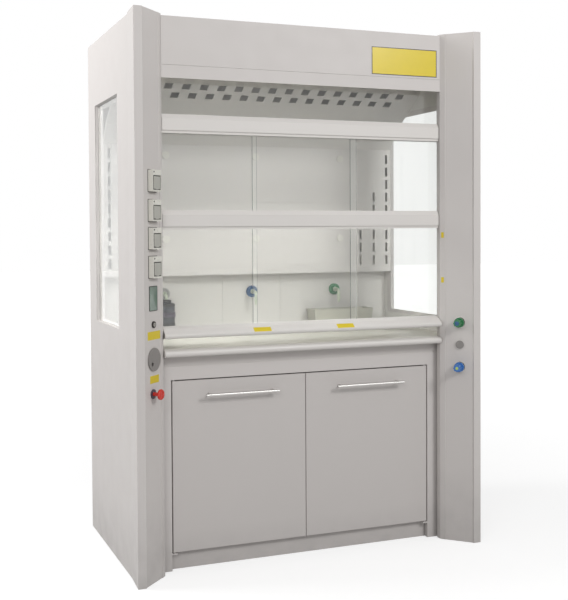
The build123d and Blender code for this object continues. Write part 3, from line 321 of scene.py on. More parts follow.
def sawn_bar(name, tint):
    """Sawn steel flat, left with its mill scale"""
    # Blue-black scale, rubbed brighter in patches.
    material, tree, shader, place = start_finish(name, tint, 0.6, Metallic=0.6)
    drift(tree, shader, place, tint, 40, 0.35)
    uneven_gloss(tree, shader, place, 25, 0.45, 0.75)
    relief(tree, shader, place, 6, 0.15)
    return material


def moulded_rubber(name, tint):
    """Vulcanised rubber, dull and slightly dusty"""
    # Nearly no highlight; dust greys it in patches.
    material, tree, shader, place = start_finish(name, tint, 0.85, Specular_IOR_Level=0.3)
    drift(tree, shader, place, tint, 18, 0.2)
    relief(tree, shader, place, 1.5, 0.05)
    return material


def display_glass(name, tint):
    """Liquid-crystal panel behind a glossy window"""
    # A grey-green field with faint square cells, seen through clear acrylic.
    material, tree, shader, place = start_finish(name, tint, 0.15, Coat_Weight=0.6,
                                                 Coat_Roughness=0.08)
    cells = node(tree, "TexBrick", {"Vector": place, "Scale": 1.0, "Mortar Size": 0.0004,
                                    "Brick Width": 4 * MM, "Row Height": 4 * MM,
                                    "Color1": (*tint, 1), "Color2": (*[c * 0.92 for c in tint], 1),
                                    "Mortar": (*[c * 0.8 for c in tint], 1)}, offset=0.0)
    tree.links.new(cells.outputs["Color"], shader.inputs["Base Color"])
    return material


def printed_film(name, tint):
    """Polyester film, screen-printed on its back"""
    # Saturated ink under a satin face, slightly uneven where it was smoothed down.
    material, tree, shader, place = start_finish(name, tint, 0.32, Coat_Weight=0.2,
                                                 Coat_Roughness=0.2)
    drift(tree, shader, place, tint, 35, 0.04)
    relief(tree, shader, place, 22, 0.12)
    return material


FINISHES = {
    # The number after the colour is the height in millimetres up to which the coat gets darker towards the
    # floor
    "powder_coated_steel": lambda c: (powder_coated_steel, c.steel, 260.0),
    "post_coat": lambda c: (powder_coated_steel, c.steel, 330.0),
    "coated_aluminium": lambda c: (coated_aluminium, c.profile),
    "lining_laminate": lambda c: (phenolic_laminate, c.lining),
    "baffle_laminate": lambda c: (phenolic_laminate, c.baffle, 0.4),
    "cast_resin_slab": lambda c: (cast_resin, c.worktop),
    "melamine_board": lambda c: (melamine_board, c.board),
    "safety_glass": lambda c: (safety_glass, c.glass),
    "basin_polypropylene": lambda c: (moulded_plastic, c.trough, 0.45, 4.0),
    "epoxy_coated_tube": lambda c: (moulded_plastic, c.tube, 0.28, 6.0),
    "green_polypropylene": lambda c: (moulded_plastic, c.water, 0.35),
    "blue_polypropylene": lambda c: (moulded_plastic, c.air, 0.35),
    "grey_polypropylene": lambda c: (moulded_plastic, c.suction, 0.35),
    "smoked_jar": lambda c: (smoked_plastic, c.jar),
    "socket_plastic": lambda c: (moulded_plastic, c.housing, 0.3),
    "lid_plastic": lambda c: (moulded_plastic, c.flap, 0.38),
    "seal_rubber": lambda c: (moulded_rubber, c.seal),
    "belt_rubber": lambda c: (moulded_rubber, linear("#262626")),
    "stud_nylon": lambda c: (moulded_plastic, linear("#E6E3DC"), 0.35),
    "guide_nylon": lambda c: (moulded_plastic, linear("#E2E1DA"), 0.5),
    "mill_scale_bar": lambda c: (sawn_bar, linear("#4A4B4E")),
    "drawn_bar": lambda c: (drawn_steel, linear("#B9BABA"), 0.28, (60.0, 1.0, 1.0)),
    "satin_stainless": lambda c: (drawn_steel, linear("#C4C2BF"), 0.34, (2.0, 60.0, 60.0)),
    "blackened_steel": lambda c: (drawn_steel, linear("#4B4846"), 0.35, (8.0, 8.0, 8.0)),
    "plated_brass": lambda c: (drawn_steel, linear("#C9C8C4"), 0.18, (8.0, 8.0, 8.0)),
    "display_glass": lambda c: (display_glass, c.screen),
    "cover_plastic": lambda c: (moulded_plastic, c.cover, 0.5),
    "stop_plastic": lambda c: (moulded_plastic, c.stop, 0.25),
    "collar_plastic": lambda c: (moulded_plastic, c.collar, 0.3),
    "knob_plastic": lambda c: (moulded_plastic, c.knob, 0.3),
    "yellow_film": lambda c: (printed_film, c.label),
    "border_ink": lambda c: (printed_film, c.ink),
    "index_dot": lambda c: (moulded_plastic, linear("#B9CF6E"), 0.3),
    "index_blue": lambda c: (moulded_plastic, linear("#2C5A86"), 0.3),
}


def finish(name):
    """The material of that name, made when it is first asked for"""
    if name not in bpy.data.materials:
        maker, *values = FINISHES[name](bpy.context.scene.hood_colours)
        maker(name, *values)
    return bpy.data.materials[name]


def dress(name, *nodes):
    """Gives frame nodes that keep their shape a finish"""
    for key in nodes:
        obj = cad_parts[key]
        obj.data.materials.clear()
        obj.data.materials.append(finish(name))


# Places and modelling
def at(x, setback, height):
    """A place from the middle, the front plane and the floor, in millimetres"""
    return Vector((x, FRONT + setback, height)) * MM


def facing_front(x, setback, height):
    """A place whose piece faces forward"""
    return Matrix.Translation(at(x, setback, height)) @ Matrix.Rotation(pi / 2, 4, "X")


def facing_up(x, setback, height):
    """A place whose piece faces up"""
    return Matrix.Translation(at(x, setback, height))


def on_bevel(side, along, height, out=0.0):
    """A place on a corner post's bevelled face, whose piece faces out of it"""
    inset = BEVEL_INSET + (along + out) * ROOT_HALF
    setback = BEVEL_SETBACK + (along - out) * ROOT_HALF
    return (Matrix.Translation(at(side * (HALF_WIDTH - inset), setback, height))
            @ Matrix.Rotation(-side * pi / 4, 4, "Z") @ Matrix.Rotation(pi / 2, 4, "X"))


def leave_edit():
    """Goes back to object mode with nothing selected"""
    if bpy.context.object and bpy.context.object.mode != "OBJECT":
        bpy.ops.object.mode_set(mode="OBJECT")
    bpy.ops.object.select_all(action="DESELECT")


def pick(piece, domain, rule):
    """In edit mode, selects only the faces or edges that a rule takes"""
    bpy.ops.mesh.select_mode(type="FACE" if domain == "faces" else "EDGE")
    bpy.ops.mesh.select_all(action="DESELECT")
    mesh = bmesh.from_edit_mesh(piece.data)
    for item in getattr(mesh, domain):
        if rule(item):
            item.select_set(True)
    mesh.select_flush_mode()
    bmesh.update_edit_mesh(piece.data)


def faces_up(face):
    """True for the face that ends up outermost"""
    return face.normal.z > 0.9


def stands(edge):
    """True for an edge that runs straight out from the face behind it"""
    run = (edge.verts[1].co - edge.verts[0].co).normalized()
    return abs(run.z) > 0.9


def plate(name, width, height, depth, corner=0.0):
    """A flat piece, lying on its back at the origin, with rounded corners; left in edit mode"""
    leave_edit()
    bpy.ops.mesh.primitive_cube_add(size=1.0, location=(0, 0, 0))
    piece = bpy.context.object
    piece.name = piece.data.name = name
    bpy.ops.object.mode_set(mode="EDIT")
    bpy.ops.mesh.select_all(action="SELECT")
    bpy.ops.transform.translate(value=(0, 0, 0.5))
    bpy.ops.transform.resize(value=(width * MM, height * MM, depth * MM),
                             center_override=(0, 0, 0))
    if corner:
        pick(piece, "edges", stands)
        bpy.ops.mesh.bevel(offset=corner * MM, segments=4, affect="EDGES")
    return piece


def turned(name, profile, around=40):
    """A round piece about the upright axis, drawn up ring by ring from (radius, height) points"""
    leave_edit()
    (radius, height), *rings = profile
    bpy.ops.mesh.primitive_circle_add(vertices=around, radius=radius * MM, fill_type="NGON",
                                      location=(0, 0, 0))
    piece = bpy.context.object
    piece.name = piece.data.name = name
    bpy.ops.object.mode_set(mode="EDIT")
    bpy.ops.mesh.select_all(action="SELECT")
    bpy.ops.transform.translate(value=(0, 0, height * MM))
    for next_radius, next_height in rings:
        bpy.ops.mesh.extrude_region_move(
            TRANSFORM_OT_translate={"value": (0, 0, (next_height - height) * MM)})
        share = next_radius / radius
        bpy.ops.transform.resize(value=(share, share, 1), center_override=(0, 0, 0))
        radius, height = next_radius, next_height
    return piece


def paint(piece, rule, name):
    """In edit mode, gives the faces that a rule takes another finish"""
    piece.data.materials.append(finish(name))
    piece.active_material_index = len(piece.data.materials) - 1
    pick(piece, "faces", rule)
    bpy.ops.object.material_slot_assign()


def frame_in(piece, rim, rise, rim_finish):
    """Insets a plate's front, lifts the field inside and gives everything round it a finish"""
    pick(piece, "faces", faces_up)
    bpy.ops.mesh.inset(thickness=rim * MM, depth=rise * MM)
    mesh = bmesh.from_edit_mesh(piece.data)
    field = max((face for face in mesh.faces if faces_up(face)), key=lambda f: f.calc_area())
    middle = field.calc_area()
    paint(piece, lambda face: not (faces_up(face) and face.calc_area() > 0.99 * middle),
          rim_finish)


def ring(name, profile, around=64):
    """A round band about the upright axis: its outer side is drawn up from (radius, height)
    points, and its inner side closes it"""
    piece = turned(name, profile, around)
    pick(piece, "faces", lambda face: len(face.verts) == around)
    bpy.ops.mesh.delete(type="FACE")
    pick(piece, "edges", lambda edge: edge.is_boundary)
    bpy.ops.mesh.bridge_edge_loops()
    return piece


def strip(name, x_low, x_high, path, film):
    """A thin film that follows a path of (setback, height) points, between two widths"""
    leave_edit()
    bpy.ops.mesh.primitive_plane_add(size=1.0, location=(0, 0, 0))
    piece = bpy.context.object
    piece.name = piece.data.name = name
    bpy.ops.object.mode_set(mode="EDIT")
    bpy.ops.mesh.select_all(action="SELECT")
    bpy.ops.transform.resize(value=((x_high - x_low) * MM, 1, 1), center_override=(0, 0, 0))
    points = [at((x_low + x_high) / 2, setback, height) for setback, height in path]
    for end, point in ((-0.5, points[0]), (0.5, points[1])):
        pick(piece, "edges", lambda edge: all(abs(v.co.y - end) < 0.01 and v.co.z == 0
                                              for v in edge.verts))
        bpy.ops.transform.translate(value=(point.x, point.y - end, point.z))
    for last, point in zip(points[1:], points[2:]):
        bpy.ops.mesh.extrude_edges_move(TRANSFORM_OT_translate={"value": point - last})
    bpy.ops.object.mode_set(mode="OBJECT")
    wall = piece.modifiers.new("film", "SOLIDIFY")
    wall.thickness, wall.offset = film, 0.0
    bpy.ops.object.modifier_apply(modifier=wall.name)
    return piece


def settle(piece, place, body, replaced=(), edge=0.0):
    """Puts a shaped piece in its place in the frame, closes its seams and lets it ride"""
    leave_edit()
    piece.select_set(True)
    bpy.context.view_layer.objects.active = piece
    bpy.ops.object.mode_set(mode="EDIT")
    bpy.ops.mesh.select_all(action="SELECT")
    bpy.ops.mesh.remove_doubles(threshold=0.00001)
    bpy.ops.mesh.normals_make_consistent(inside=False)
    bpy.ops.object.mode_set(mode="OBJECT")
    if edge:
        softened = piece.modifiers.new("softened", "BEVEL")
        softened.width, softened.segments = edge * MM, 2
        softened.limit_method, softened.angle_limit = "ANGLE", radians(40)
        bpy.ops.object.modifier_apply(modifier=softened.name)
    piece.matrix_world = place
    bpy.ops.object.transform_apply(location=True, rotation=True, scale=True)
    bpy.ops.object.shade_smooth_by_angle(angle=radians(35))
    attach(piece, body)
    if replaced:
        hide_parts(*replaced)


def repeat(piece, places, body, edge=0.0):
    """Puts copies of one shaped piece in several places, each with its own mesh"""
    leave_edit()
    base = piece.name
    copies = []
    for index in range(1, len(places)):
        bpy.ops.object.select_all(action="DESELECT")
        piece.select_set(True)
        bpy.context.view_layer.objects.active = piece
        bpy.ops.object.duplicate()
        copy = bpy.context.object
        copy.name = copy.data.name = f"{base}_{index + 1}"
        copies.append(copy)
    piece.name = piece.data.name = f"{base}_1"
    for each, place in zip([piece, *copies], places):
        settle(each, place, body, edge=edge)
    return [piece, *copies]


def label(name, width, height, place, body="hood", bordered=True):
    """A bare film label, with a printed border where it has one"""
    piece = plate(name, width, height, sizes().film / MM, 0.0 if bordered else 1.5)
    piece.data.materials.append(finish("yellow_film"))
    if bordered:
        frame_in(piece, sizes().label_border / MM, 0.0, "border_ink")
    settle(piece, place, body)


class HOOD_OT_dress_shell(bpy.types.Operator):
    """Powder coat on the posts, panels, header, roof and face frame"""
    bl_idname = "hood.dress_shell"
    bl_label = "Shell finishes"

    def execute(self, context):
        dress("post_coat", "corner_post_left", "corner_post_right")
        dress("powder_coated_steel", "side_panel_left", "side_panel_right", "header_panels",
              "roof_panel", "face_frame", "window_frames", "worktop_frame",
              "ceiling_panel", "light_unit", "duct_collar")
        return {"FINISHED"}


class HOOD_OT_dress_chamber(bpy.types.Operator):
    """Laminate, glass, resin and moulded parts inside the chamber"""
    bl_idname = "hood.dress_chamber"
    bl_label = "Chamber finishes"

    def execute(self, context):
        dress("lining_laminate", "side_liners", "rear_liner")
        dress("baffle_laminate", "baffle_panels", "baffle_upper")
        dress("stud_nylon", "baffle_studs")
        dress("cast_resin_slab", "worktop")
        dress("basin_polypropylene", "sink_trough")
        dress("epoxy_coated_tube", "tap_pipes")
        dress("safety_glass", "window_panes", "upper_glass", "light_glass")
        return {"FINISHED"}


class HOOD_OT_dress_sash(bpy.types.Operator):
    """Sash bars and panes, guides, belts, shaft and counterweights"""
    bl_idname = "hood.dress_sash"
    bl_label = "Sash finishes"

    def execute(self, context):
        dress("coated_aluminium", "sash_rails", "sash_stiles", "front_sill")
        dress("safety_glass", "sash_pane_left", "sash_pane_centre", "sash_pane_right")
        dress("guide_nylon", "sash_guides", "belt_shoes", "shaft_bearings")
        dress("belt_rubber", "belts")
        dress("drawn_bar", "drive_shaft")
        dress("mill_scale_bar", "counterweight_left", "counterweight_right")
        return {"FINISHED"}


class HOOD_OT_dress_cabinet(bpy.types.Operator):
    """Doors, pulls and carcass under the worktop"""
    bl_idname = "hood.dress_cabinet"
    bl_label = "Cabinet finishes"

    def execute(self, context):
        dress("melamine_board", "door_left", "door_right", "cabinet_sides", "cabinet_base")
        dress("satin_stainless", "pull_left", "pull_right")
        return {"FINISHED"}


class HOOD_OT_dress_controls(bpy.types.Operator):
    """Moulded and plated parts on the two posts"""
    bl_idname = "hood.dress_controls"
    bl_label = "Control finishes"

    def execute(self, context):
        dress("socket_plastic", "socket_boxes")
        dress("plated_brass", "key_barrel", "valve_bodies")
        dress("blackened_steel", "key_switch")
        dress("cover_plastic", "cable_grommet", "blank_plug")
        dress("collar_plastic", "stop_collar")
        dress("stop_plastic", "stop_button")
        dress("green_polypropylene", "knob_water")
        dress("knob_plastic", "knob_air")
        return {"FINISHED"}


class HOOD_OT_add_labels(bpy.types.Operator):
    """Bare labels on the header and the left post"""
    bl_idname = "hood.add_labels"
    bl_label = "Labels"

    def execute(self, context):
        label("header_label", 314, 116, facing_front(450, HEADER_FACE, 2068))
        label("post_label_upper", 94, 32, on_bevel(LEFT, 68, 954), bordered=False)
        label("post_label_lower", 66, 29, on_bevel(LEFT, 70, 785.5), bordered=False)
        return {"FINISHED"}


class HOOD_OT_add_rail_labels(bpy.types.Operator):
    """Two bare film strips that follow the handle rail's front"""
    bl_idname = "hood.add_rail_labels"
    bl_label = "Rail labels"

    def execute(self, context):
        slope_and_nose = ((104.75, 962.6), (95.75, 955.35), (91.9, 953.0), (89.0, 949.4),
                          (87.95, 946.8))
        for name, x_low, x_high in (("rail_label_left", -249.0, -174.0),
                                    ("rail_label_right", 122.0, 199.0)):
            piece = strip(name, x_low, x_high, slope_and_nose, sizes().film)
            piece.data.materials.append(finish("yellow_film"))
            settle(piece, Matrix(), "sash")
        return {"FINISHED"}


class HOOD_OT_add_post_stickers(bpy.types.Operator):
    """Two small film stickers on the right post's inner lip"""
    bl_idname = "hood.add_post_stickers"
    bl_label = "Post stickers"

    def execute(self, context):
        lip = atan2(19.0, 15.0)
        piece = plate("post_sticker", 12, 24, sizes().film / MM, 1.5)
        piece.data.materials.append(finish("yellow_film"))
        places = [Matrix.Translation(at(HALF_WIDTH - 119.5, 98.5, height))
                  @ Matrix.Rotation(-lip, 4, "Z") @ Matrix.Rotation(pi / 2, 4, "X")
                  for height in (1330, 1135)]
        repeat(piece, places, "hood")
        return {"FINISHED"}


class HOOD_OT_add_sockets(bpy.types.Operator):
    """Rubber seat, screw and lid of each of the four sockets"""
    bl_idname = "hood.add_sockets"
    bl_label = "Sockets"

    def execute(self, context):
        seat = plate("socket_seat", 68, 87, 1.2, 3)
        seat.data.materials.append(finish("seal_rubber"))
        repeat(seat, [on_bevel(LEFT, CONTROL_LINE, height) for height in SOCKET_HEIGHTS],
               "hood", edge=0.4)
        screw = turned("socket_screw", ((3.4, -0.5), (3.4, 0.4), (2.8, 0.9), (1.6, 1.0),
                                        (1.4, 0.3)), 20)
        screw.data.materials.append(finish("seal_rubber"))
        repeat(screw, [on_bevel(LEFT, CONTROL_LINE - 23, height + 33.5, 22)
                       for height in SOCKET_HEIGHTS], "hood")
        for index, height in enumerate(SOCKET_HEIGHTS, start=1):
            lid = plate(f"socket_flap_{index}", 56, 54, 5.4, 4)
            lid.data.materials.append(finish("lid_plastic"))
            frame_in(lid, sizes().seal_rim / MM, 0.6, "seal_rubber")
            settle(lid, on_bevel(LEFT, CONTROL_LINE, height - LID_DROP, 16), f"lid_{index}",
                   replaced=(f"socket_lid_{index}",), edge=0.5)
            tab = plate(f"socket_tab_{index}", 22, 4, 2.0, 1)
            tab.data.materials.append(finish("lid_plastic"))
            settle(tab, on_bevel(LEFT, CONTROL_LINE, height - LID_DROP - 24, 20.5), f"lid_{index}",
                   edge=0.4)
        return {"FINISHED"}


class HOOD_OT_add_display(bpy.types.Operator):
    """Display with a dark rim round its field"""
    bl_idname = "hood.add_display"
    bl_label = "Display"

    def execute(self, context):
        piece = plate("display_front", 61, 96, 2.0, 4.0)
        piece.data.materials.append(finish("display_glass"))
        frame_in(piece, 2.6, -0.5, "seal_rubber")
        settle(piece, on_bevel(LEFT, CONTROL_LINE, DISPLAY_HEIGHT), "hood",
               replaced=("display",), edge=0.3)
        body = plate("display_body", 49, 84, 30, 2)
        body.data.materials.append(finish("collar_plastic"))
        settle(body, on_bevel(LEFT, CONTROL_LINE, DISPLAY_HEIGHT, -30), "hood",
               edge=0.8)
        return {"FINISHED"}


class HOOD_OT_add_taps(bpy.types.Operator):
    """Disc, nut and barbed nozzle of the wall taps"""
    bl_idname = "hood.add_taps"
    bl_label = "Taps"

    def execute(self, context):
        for name, x, plastic in (("suction", -TAP_SPACING, "grey_polypropylene"),
                                 ("air", 0.0, "blue_polypropylene"),
                                 ("water", TAP_SPACING, "green_polypropylene")):
            disc = turned(f"tap_disc_{name}", ((27.5, 0), (27.5, 8.5), (26.6, 11), (24.5, 12.6),
                                               (21, 13), (19.5, 12), (15, 12), (14, 13),
                                               (9, 13)), 48)
            disc.data.materials.append(finish(plastic))
            settle(disc, facing_front(x, REAR_FACE, TAP_HEIGHT), "hood",
                   replaced=("tap_discs",))
        nut = turned("tap_nut", ((12, 0), (12, 7), (10.8, 8.4), (8, 8.4)), 6)
        nut.data.materials.append(finish("epoxy_coated_tube"))
        repeat(nut, [facing_front(x, REAR_FACE - 12.5, TAP_HEIGHT)
                     for x in (-TAP_SPACING, 0, TAP_SPACING)], "hood", edge=0.6)
        nozzle = turned("tap_nozzle", ((2.4, 8), (2.4, 0), (4.6, 0), (6.2, 4), (5.2, 4.4),
                                       (6.7, 9), (5.7, 9.4), (7.2, 14.5), (6.6, 15), (6.6, 20),
                                       (8.6, 20.6), (8.6, 25.4), (7.2, 26)), 32)
        nozzle.data.materials.append(finish("epoxy_coated_tube"))
        repeat(nozzle, [facing_up(x, REAR_FACE - 56, TAP_HEIGHT - 60.2)
                        for x in (0, TAP_SPACING)], "hood")
        return {"FINISHED"}


class HOOD_OT_add_jar(bpy.types.Operator):
    """Trap jar under the suction tap, with its cap, band and wall plate, and two dark rings at its foot
    and shoulder as painted shade
    """
    bl_idname = "hood.add_jar"
    bl_label = "Trap jar"

    def execute(self, context):
        foot = facing_up(-TAP_SPACING, REAR_FACE - JAR_STANDOFF, JAR_FOOT)
        jar = turned("jar_vessel", ((27, 0), (33, 1.4), (37, 5), (38.4, 11), (38.4, 94),
                                    (36.8, 101), (31, 105.6), (24, 107), (20, 107)), 56)
        jar.data.materials.append(finish("smoked_jar"))
        settle(jar, foot, "hood", replaced=("trap_jar",))
        cap = turned("jar_cap", ((22, 106), (22.5, 107), (22.5, 117), (21, 119), (9, 119),
                                 (8.4, 120.6), (7.4, 120.6)), 28)
        cap.data.materials.append(finish("seal_rubber"))
        settle(cap, foot, "hood")
        # A dark ring at the foot: painted shade for the smoked wall, which looks darker at its bottom
        # edge.
        shade_foot = ring("jar_sole", ((36.8, 0.2), (39.2, 0.6), (39.4, 14), (38, 15)), 56)
        shade_foot.data.materials.append(finish("seal_rubber"))
        settle(shade_foot, foot, "hood")
        # A dark ring at the shoulder: painted shade for the smoked wall, which looks darker at its top
        # edge.
        shoulder = ring("jar_shoulder", ((38, 90), (39.4, 91), (39.2, 99), (36.6, 102.5),
                                         (35, 102.5)), 56)
        shoulder.data.materials.append(finish("seal_rubber"))
        settle(shoulder, foot, "hood")
        band = ring("jar_band", ((38.4, 41), (41, 41.4), (41.3, 53), (41, 64.6), (38.4, 65)), 56)
        band.data.materials.append(finish("collar_plastic"))
        settle(band, foot, "hood")
        wall_plate = plate("jar_wall_plate", 60, 24, 2.5, 3)
        wall_plate.data.materials.append(finish("collar_plastic"))
        settle(wall_plate, facing_front(-TAP_SPACING, REAR_FACE, 974), "hood", edge=0.5)
        return {"FINISHED"}


class HOOD_OT_add_knob_marks(bpy.types.Operator):
    """Index buttons in the faces of the two valve knobs, and rings under their skirts"""
    bl_idname = "hood.add_knob_marks"
    bl_label = "Knob marks"

    def execute(self, context):
        for name, height, plastic, radius in (
                ("water", WATER_KNOB_HEIGHT, "index_blue", 9.5),
                ("air", AIR_KNOB_HEIGHT, "index_dot", 6.5)):
            mark = turned(f"knob_mark_{name}", ((radius, -1), (radius, 0.2), (radius - 1, 0.7),
                                                (radius / 2, 0.9)), 32)
            mark.data.materials.append(finish(plastic))
            settle(mark, on_bevel(RIGHT, VALVE_LINE, height, KNOB_REACH), f"{name}_knob")
            rim = ring(f"knob_rim_{name}", ((21, 5.4), (21.6, 6.4), (21.6, 9), (21, 10)), 48)
            rim.data.materials.append(finish("seal_rubber"))
            settle(rim, on_bevel(RIGHT, VALVE_LINE, height), f"{name}_knob")
        return {"FINISHED"}


class HOOD_OT_add_collar_beads(bpy.types.Operator):
    """Two rolled beads round the exhaust collar"""
    bl_idname = "hood.add_collar_beads"
    bl_label = "Collar beads"

    def execute(self, context):
        wall, crest = COLLAR_RADIUS, COLLAR_RADIUS + sizes().bead / MM
        shoulder = wall + sizes().bead / MM * 0.8
        bead = ring("collar_bead", ((wall - 1, -5), (wall + 0.2, -4), (shoulder, -2), (crest, 0),
                                    (shoulder, 2), (wall + 0.2, 4), (wall - 1, 5)), 96)
        bead.data.materials.append(finish("powder_coated_steel"))
        repeat(bead, [facing_up(0, COLLAR_SETBACK, height) for height in (2210, 2238)], "hood")
        return {"FINISHED"}


class HOOD_OT_add_screws(bpy.types.Operator):
    """Pan-head screws round the roof panel and the collar's flange"""
    bl_idname = "hood.add_screws"
    bl_label = "Screws"

    def execute(self, context):
        head = sizes().screw_head / MM / 2
        screw = turned("roof_screw", ((head, 0), (head, 0.8), (head * 0.85, 2.1),
                                      (head * 0.5, 2.8), (head * 0.34, 2.9), (head * 0.28, 1.6)),
                       18)
        screw.data.materials.append(finish("satin_stainless"))
        count = int(ROOF_SPAN / (sizes().screw_pitch / MM))
        side = ROOF_SPAN / 2
        side_step = (ROOF_BACK_ROW - ROOF_FRONT_ROW) / 3
        spots = [(x * ROOF_SPAN / count - side, setback) for x in range(count + 1)
                 for setback in (ROOF_FRONT_ROW, ROOF_BACK_ROW)]
        spots += [(x, ROOF_FRONT_ROW + y * side_step) for x in (-side, side) for y in (1, 2)]
        places = [facing_up(x, setback, ROOF_TOP) for x, setback in spots]
        for turn in range(8):
            around = Matrix.Rotation(pi / 8 + turn * pi / 4, 4, "Z")
            places.append(facing_up(0, COLLAR_SETBACK, ROOF_TOP + 2) @ around
                          @ Matrix.Translation((FLANGE_SCREW_RADIUS * MM, 0, 0)))
        repeat(screw, places, "hood")
        return {"FINISHED"}


class HOOD_OT_add_back(bpy.types.Operator):
    """Back panel with three pressed fields, and screws in their corners"""
    bl_idname = "hood.add_back"
    bl_label = "Back panel"

    def execute(self, context):
        back = plate("back_sheet", BACK_WIDTH, BACK_HEIGHT, 2.0)
        for level in (-BACK_FIELD, BACK_FIELD):
            bpy.ops.mesh.select_all(action="SELECT")
            bpy.ops.mesh.bisect(plane_co=(0, level * MM, 0), plane_no=(0, 1, 0))
        pick(back, "faces", faces_up)
        bpy.ops.mesh.inset(thickness=45 * MM, depth=0.0, use_individual=True)
        bpy.ops.mesh.inset(thickness=6 * MM, depth=-1.2 * MM, use_individual=True)
        back.data.materials.append(finish("powder_coated_steel"))
        place = (Matrix.Translation(at(0, BACK_FACE, BACK_HEIGHT / 2)) @ Matrix.Rotation(pi, 4, "Z")
                 @ Matrix.Rotation(pi / 2, 4, "X"))
        settle(back, place, "hood", replaced=("back_panel",))
        head = sizes().screw_head / MM / 2
        screw = turned("back_screw", ((head, -0.8), (head * 0.95, 0.9), (head * 0.5, 1.1),
                                      (head * 0.42, 1.1), (head * 0.36, 0.3)), 18)
        screw.data.materials.append(finish("satin_stainless"))
        places = [Matrix.Translation(at(x, BACK_FACE + 0.8, level + rise))
                  @ Matrix.Rotation(pi, 4, "Z") @ Matrix.Rotation(pi / 2, 4, "X")
                  for level in (BACK_FIELD, 3 * BACK_FIELD, 5 * BACK_FIELD) for x in (-672, -224, 224, 672)
                  for rise in (-290, 290)]
        repeat(screw, places, "hood")
        return {"FINISHED"}


class HOOD_OT_set_stage(bpy.types.Operator):
    """Floor, world, lamps and camera"""
    bl_idname = "hood.set_stage"
    bl_label = "Stage"

    def execute(self, context):
        scene = context.scene
        scene.view_settings.view_transform = "Standard"
        set_floor()
        set_world(scene)
        set_lamps()
        set_camera(scene)
        return {"FINISHED"}


# The camera's place comes from the photograph's vanishing lines
CAMERA_PLACE = Vector((-1.666, -4.0656, 1.351))
CAMERA_YAW = radians(21.17)
CAMERA_PITCH = radians(-1.46)
CAMERA_ROLL = radians(-0.34)
FOCAL_PIXELS = 991.2
PRINCIPAL_POINT = (259.2, 256.5)
PICTURE = (568, 600)
SENSOR = 36.0
# Light on the object from all round, and the floor's own share of its white, which grows with
# distance so that the floor meets the background without an edge
AMBIENT = 0.48
FLOOR_LIFT_NEAR, FLOOR_LIFT_FAR = 0.6, 0.9
FLOOR_NEAR, FLOOR_FAR = 1.5, 7.0
# Lamps: place and size in metres, power in watts
LAMPS = {
    "lamp_key": ((1.8, -4.2, 3.5), 1.2, 74.0),
    "lamp_fill": ((-2.6, -3.6, 2.8), 1.6, 28.0),
    "lamp_side": ((-3.0, 0.9, 3.1), 1.6, 64.0),
}


def set_camera(scene):
    """The photograph's viewpoint"""
    data = bpy.data.cameras.new("camera")
    camera = bpy.data.objects.new("camera", data)
    scene.collection.objects.link(camera)
    long_side = max(PICTURE)
    data.sensor_width = SENSOR
    data.lens = FOCAL_PIXELS / long_side * SENSOR
    data.shift_x = (PICTURE[0] / 2 - PRINCIPAL_POINT[0]) / long_side
    data.shift_y = (PRINCIPAL_POINT[1] - PICTURE[1] / 2) / long_side
    camera.matrix_world = (Matrix.Translation(CAMERA_PLACE)
                           @ Matrix.Rotation(-CAMERA_YAW, 4, "Z")
                           @ Matrix.Rotation(pi / 2 + CAMERA_PITCH, 4, "X")
                           @ Matrix.Rotation(CAMERA_ROLL, 4, "Z"))
    scene.camera = camera


def seen_straight(tree):
    """A socket that is 1 where the eye meets the stage directly, in a reflection or through
    glass, and 0 where its light would fall on the object"""
    path = tree.nodes.new("ShaderNodeLightPath")
    seen = node(tree, "Math", {0: path.outputs["Is Camera Ray"],
                               1: path.outputs["Is Glossy Ray"]}, operation="MAXIMUM")
    through = node(tree, "Math", {0: seen.outputs["Value"],
                                  1: path.outputs["Is Transmission Ray"]}, operation="MAXIMUM")
    first = node(tree, "Math", {0: path.outputs["Diffuse Depth"], 1: 0.5},
                 operation="LESS_THAN")
    return node(tree, "Math", {0: through.outputs["Value"], 1: first.outputs["Value"]},
                operation="MULTIPLY").outputs["Value"]


def set_world(scene):
    """White to look at, and an even soft light on the object"""
    world = bpy.data.worlds.new("studio")
    scene.world = world
    world.use_nodes = True
    tree = world.node_tree
    strength = node(tree, "MapRange", {"Value": seen_straight(tree), "To Min": AMBIENT,
                                       "To Max": 1.0})
    background = tree.nodes["Background"]
    background.inputs["Color"].default_value = (1, 1, 1, 1)
    tree.links.new(strength.outputs["Result"], background.inputs["Strength"])


def set_floor():
    """A pale floor that keeps the object's shadow and is white where it is lit"""
    leave_edit()
    bpy.ops.mesh.primitive_plane_add(size=60.0, location=(0, 0, -0.0005))
    floor = bpy.context.object
    floor.name = "studio_floor"
    material = bpy.data.materials.new("studio_floor")
    material.use_nodes = True
    tree = material.node_tree
    shader = tree.nodes["Principled BSDF"]
    tint = bpy.context.scene.hood_colours.floor
    shader.inputs["Base Color"].default_value = (*tint, 1)
    shader.inputs["Roughness"].default_value = 0.9
    shader.inputs["Specular IOR Level"].default_value = 0.0
    place = tree.nodes.new("ShaderNodeTexCoord").outputs["Object"]
    reach = node(tree, "VectorMath", {0: place}, operation="LENGTH")
    glow = node(tree, "MapRange", {"Value": reach.outputs["Value"], "From Min": FLOOR_NEAR,
                                   "From Max": FLOOR_FAR, "To Min": FLOOR_LIFT_NEAR,
                                   "To Max": FLOOR_LIFT_FAR})
    lift = node(tree, "Math", {0: seen_straight(tree), 1: glow.outputs["Result"]},
                operation="MULTIPLY")
    shader.inputs["Emission Color"].default_value = (1, 1, 1, 1)
    tree.links.new(lift.outputs["Value"], shader.inputs["Emission Strength"])
    floor.data.materials.append(material)


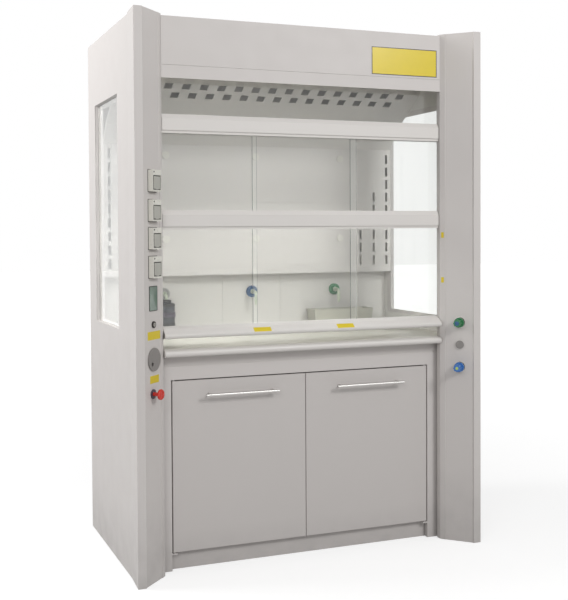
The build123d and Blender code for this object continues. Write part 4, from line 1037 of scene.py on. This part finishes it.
def set_lamps():
    """Soft panels: a high key front right, a fill front left and one beside the left panel"""
    aim = Vector((0.0, 0.0, 1.1))
    for name, (place, size, watts) in LAMPS.items():
        data = bpy.data.lights.new(name, "AREA")
        data.size = size
        data.energy = watts
        lamp = bpy.data.objects.new(name, data)
        bpy.context.scene.collection.objects.link(lamp)
        lamp.location = place
        lamp.rotation_euler = (aim - Vector(place)).to_track_quat("-Z", "Y").to_euler()


class HOOD_PT_panel(bpy.types.Panel):
    """The hood's finishes, small parts and stage"""
    bl_label = "Fume Hood"
    bl_idname = "HOOD_PT_panel"
    bl_space_type = "VIEW_3D"
    bl_region_type = "UI"
    bl_category = "Fume Hood"

    def draw(self, context):
        for group in (context.scene.hood_colours, context.scene.hood_sizes):
            column = self.layout.column()
            for key in group.bl_rna.properties.keys():
                if key not in ("rna_type", "name"):
                    column.prop(group, key)
        for step in STEPS:
            self.layout.operator(step.bl_idname)


STEPS = (HOOD_OT_dress_shell, HOOD_OT_dress_chamber, HOOD_OT_dress_sash, HOOD_OT_dress_cabinet,
         HOOD_OT_dress_controls, HOOD_OT_add_labels, HOOD_OT_add_rail_labels,
         HOOD_OT_add_post_stickers, HOOD_OT_add_sockets, HOOD_OT_add_display, HOOD_OT_add_taps,
         HOOD_OT_add_jar, HOOD_OT_add_knob_marks, HOOD_OT_add_collar_beads,
         HOOD_OT_add_screws, HOOD_OT_add_back, HOOD_OT_set_stage)
GROUPS = {"hood_colours": HoodColours, "hood_sizes": HoodSizes}


def register():
    for name, group in GROUPS.items():
        bpy.utils.register_class(group)
        setattr(bpy.types.Scene, name, bpy.props.PointerProperty(type=group))
    for part in (*STEPS, HOOD_PT_panel):
        bpy.utils.register_class(part)


def unregister():
    for part in (HOOD_PT_panel, *reversed(STEPS)):
        bpy.utils.unregister_class(part)
    for name, group in GROUPS.items():
        delattr(bpy.types.Scene, name)
        bpy.utils.unregister_class(group)


def main():
    register()
    for step in STEPS:
        group, name = step.bl_idname.split(".")
        getattr(getattr(bpy.ops, group), name)()


if __name__ == "__main__":
    main()
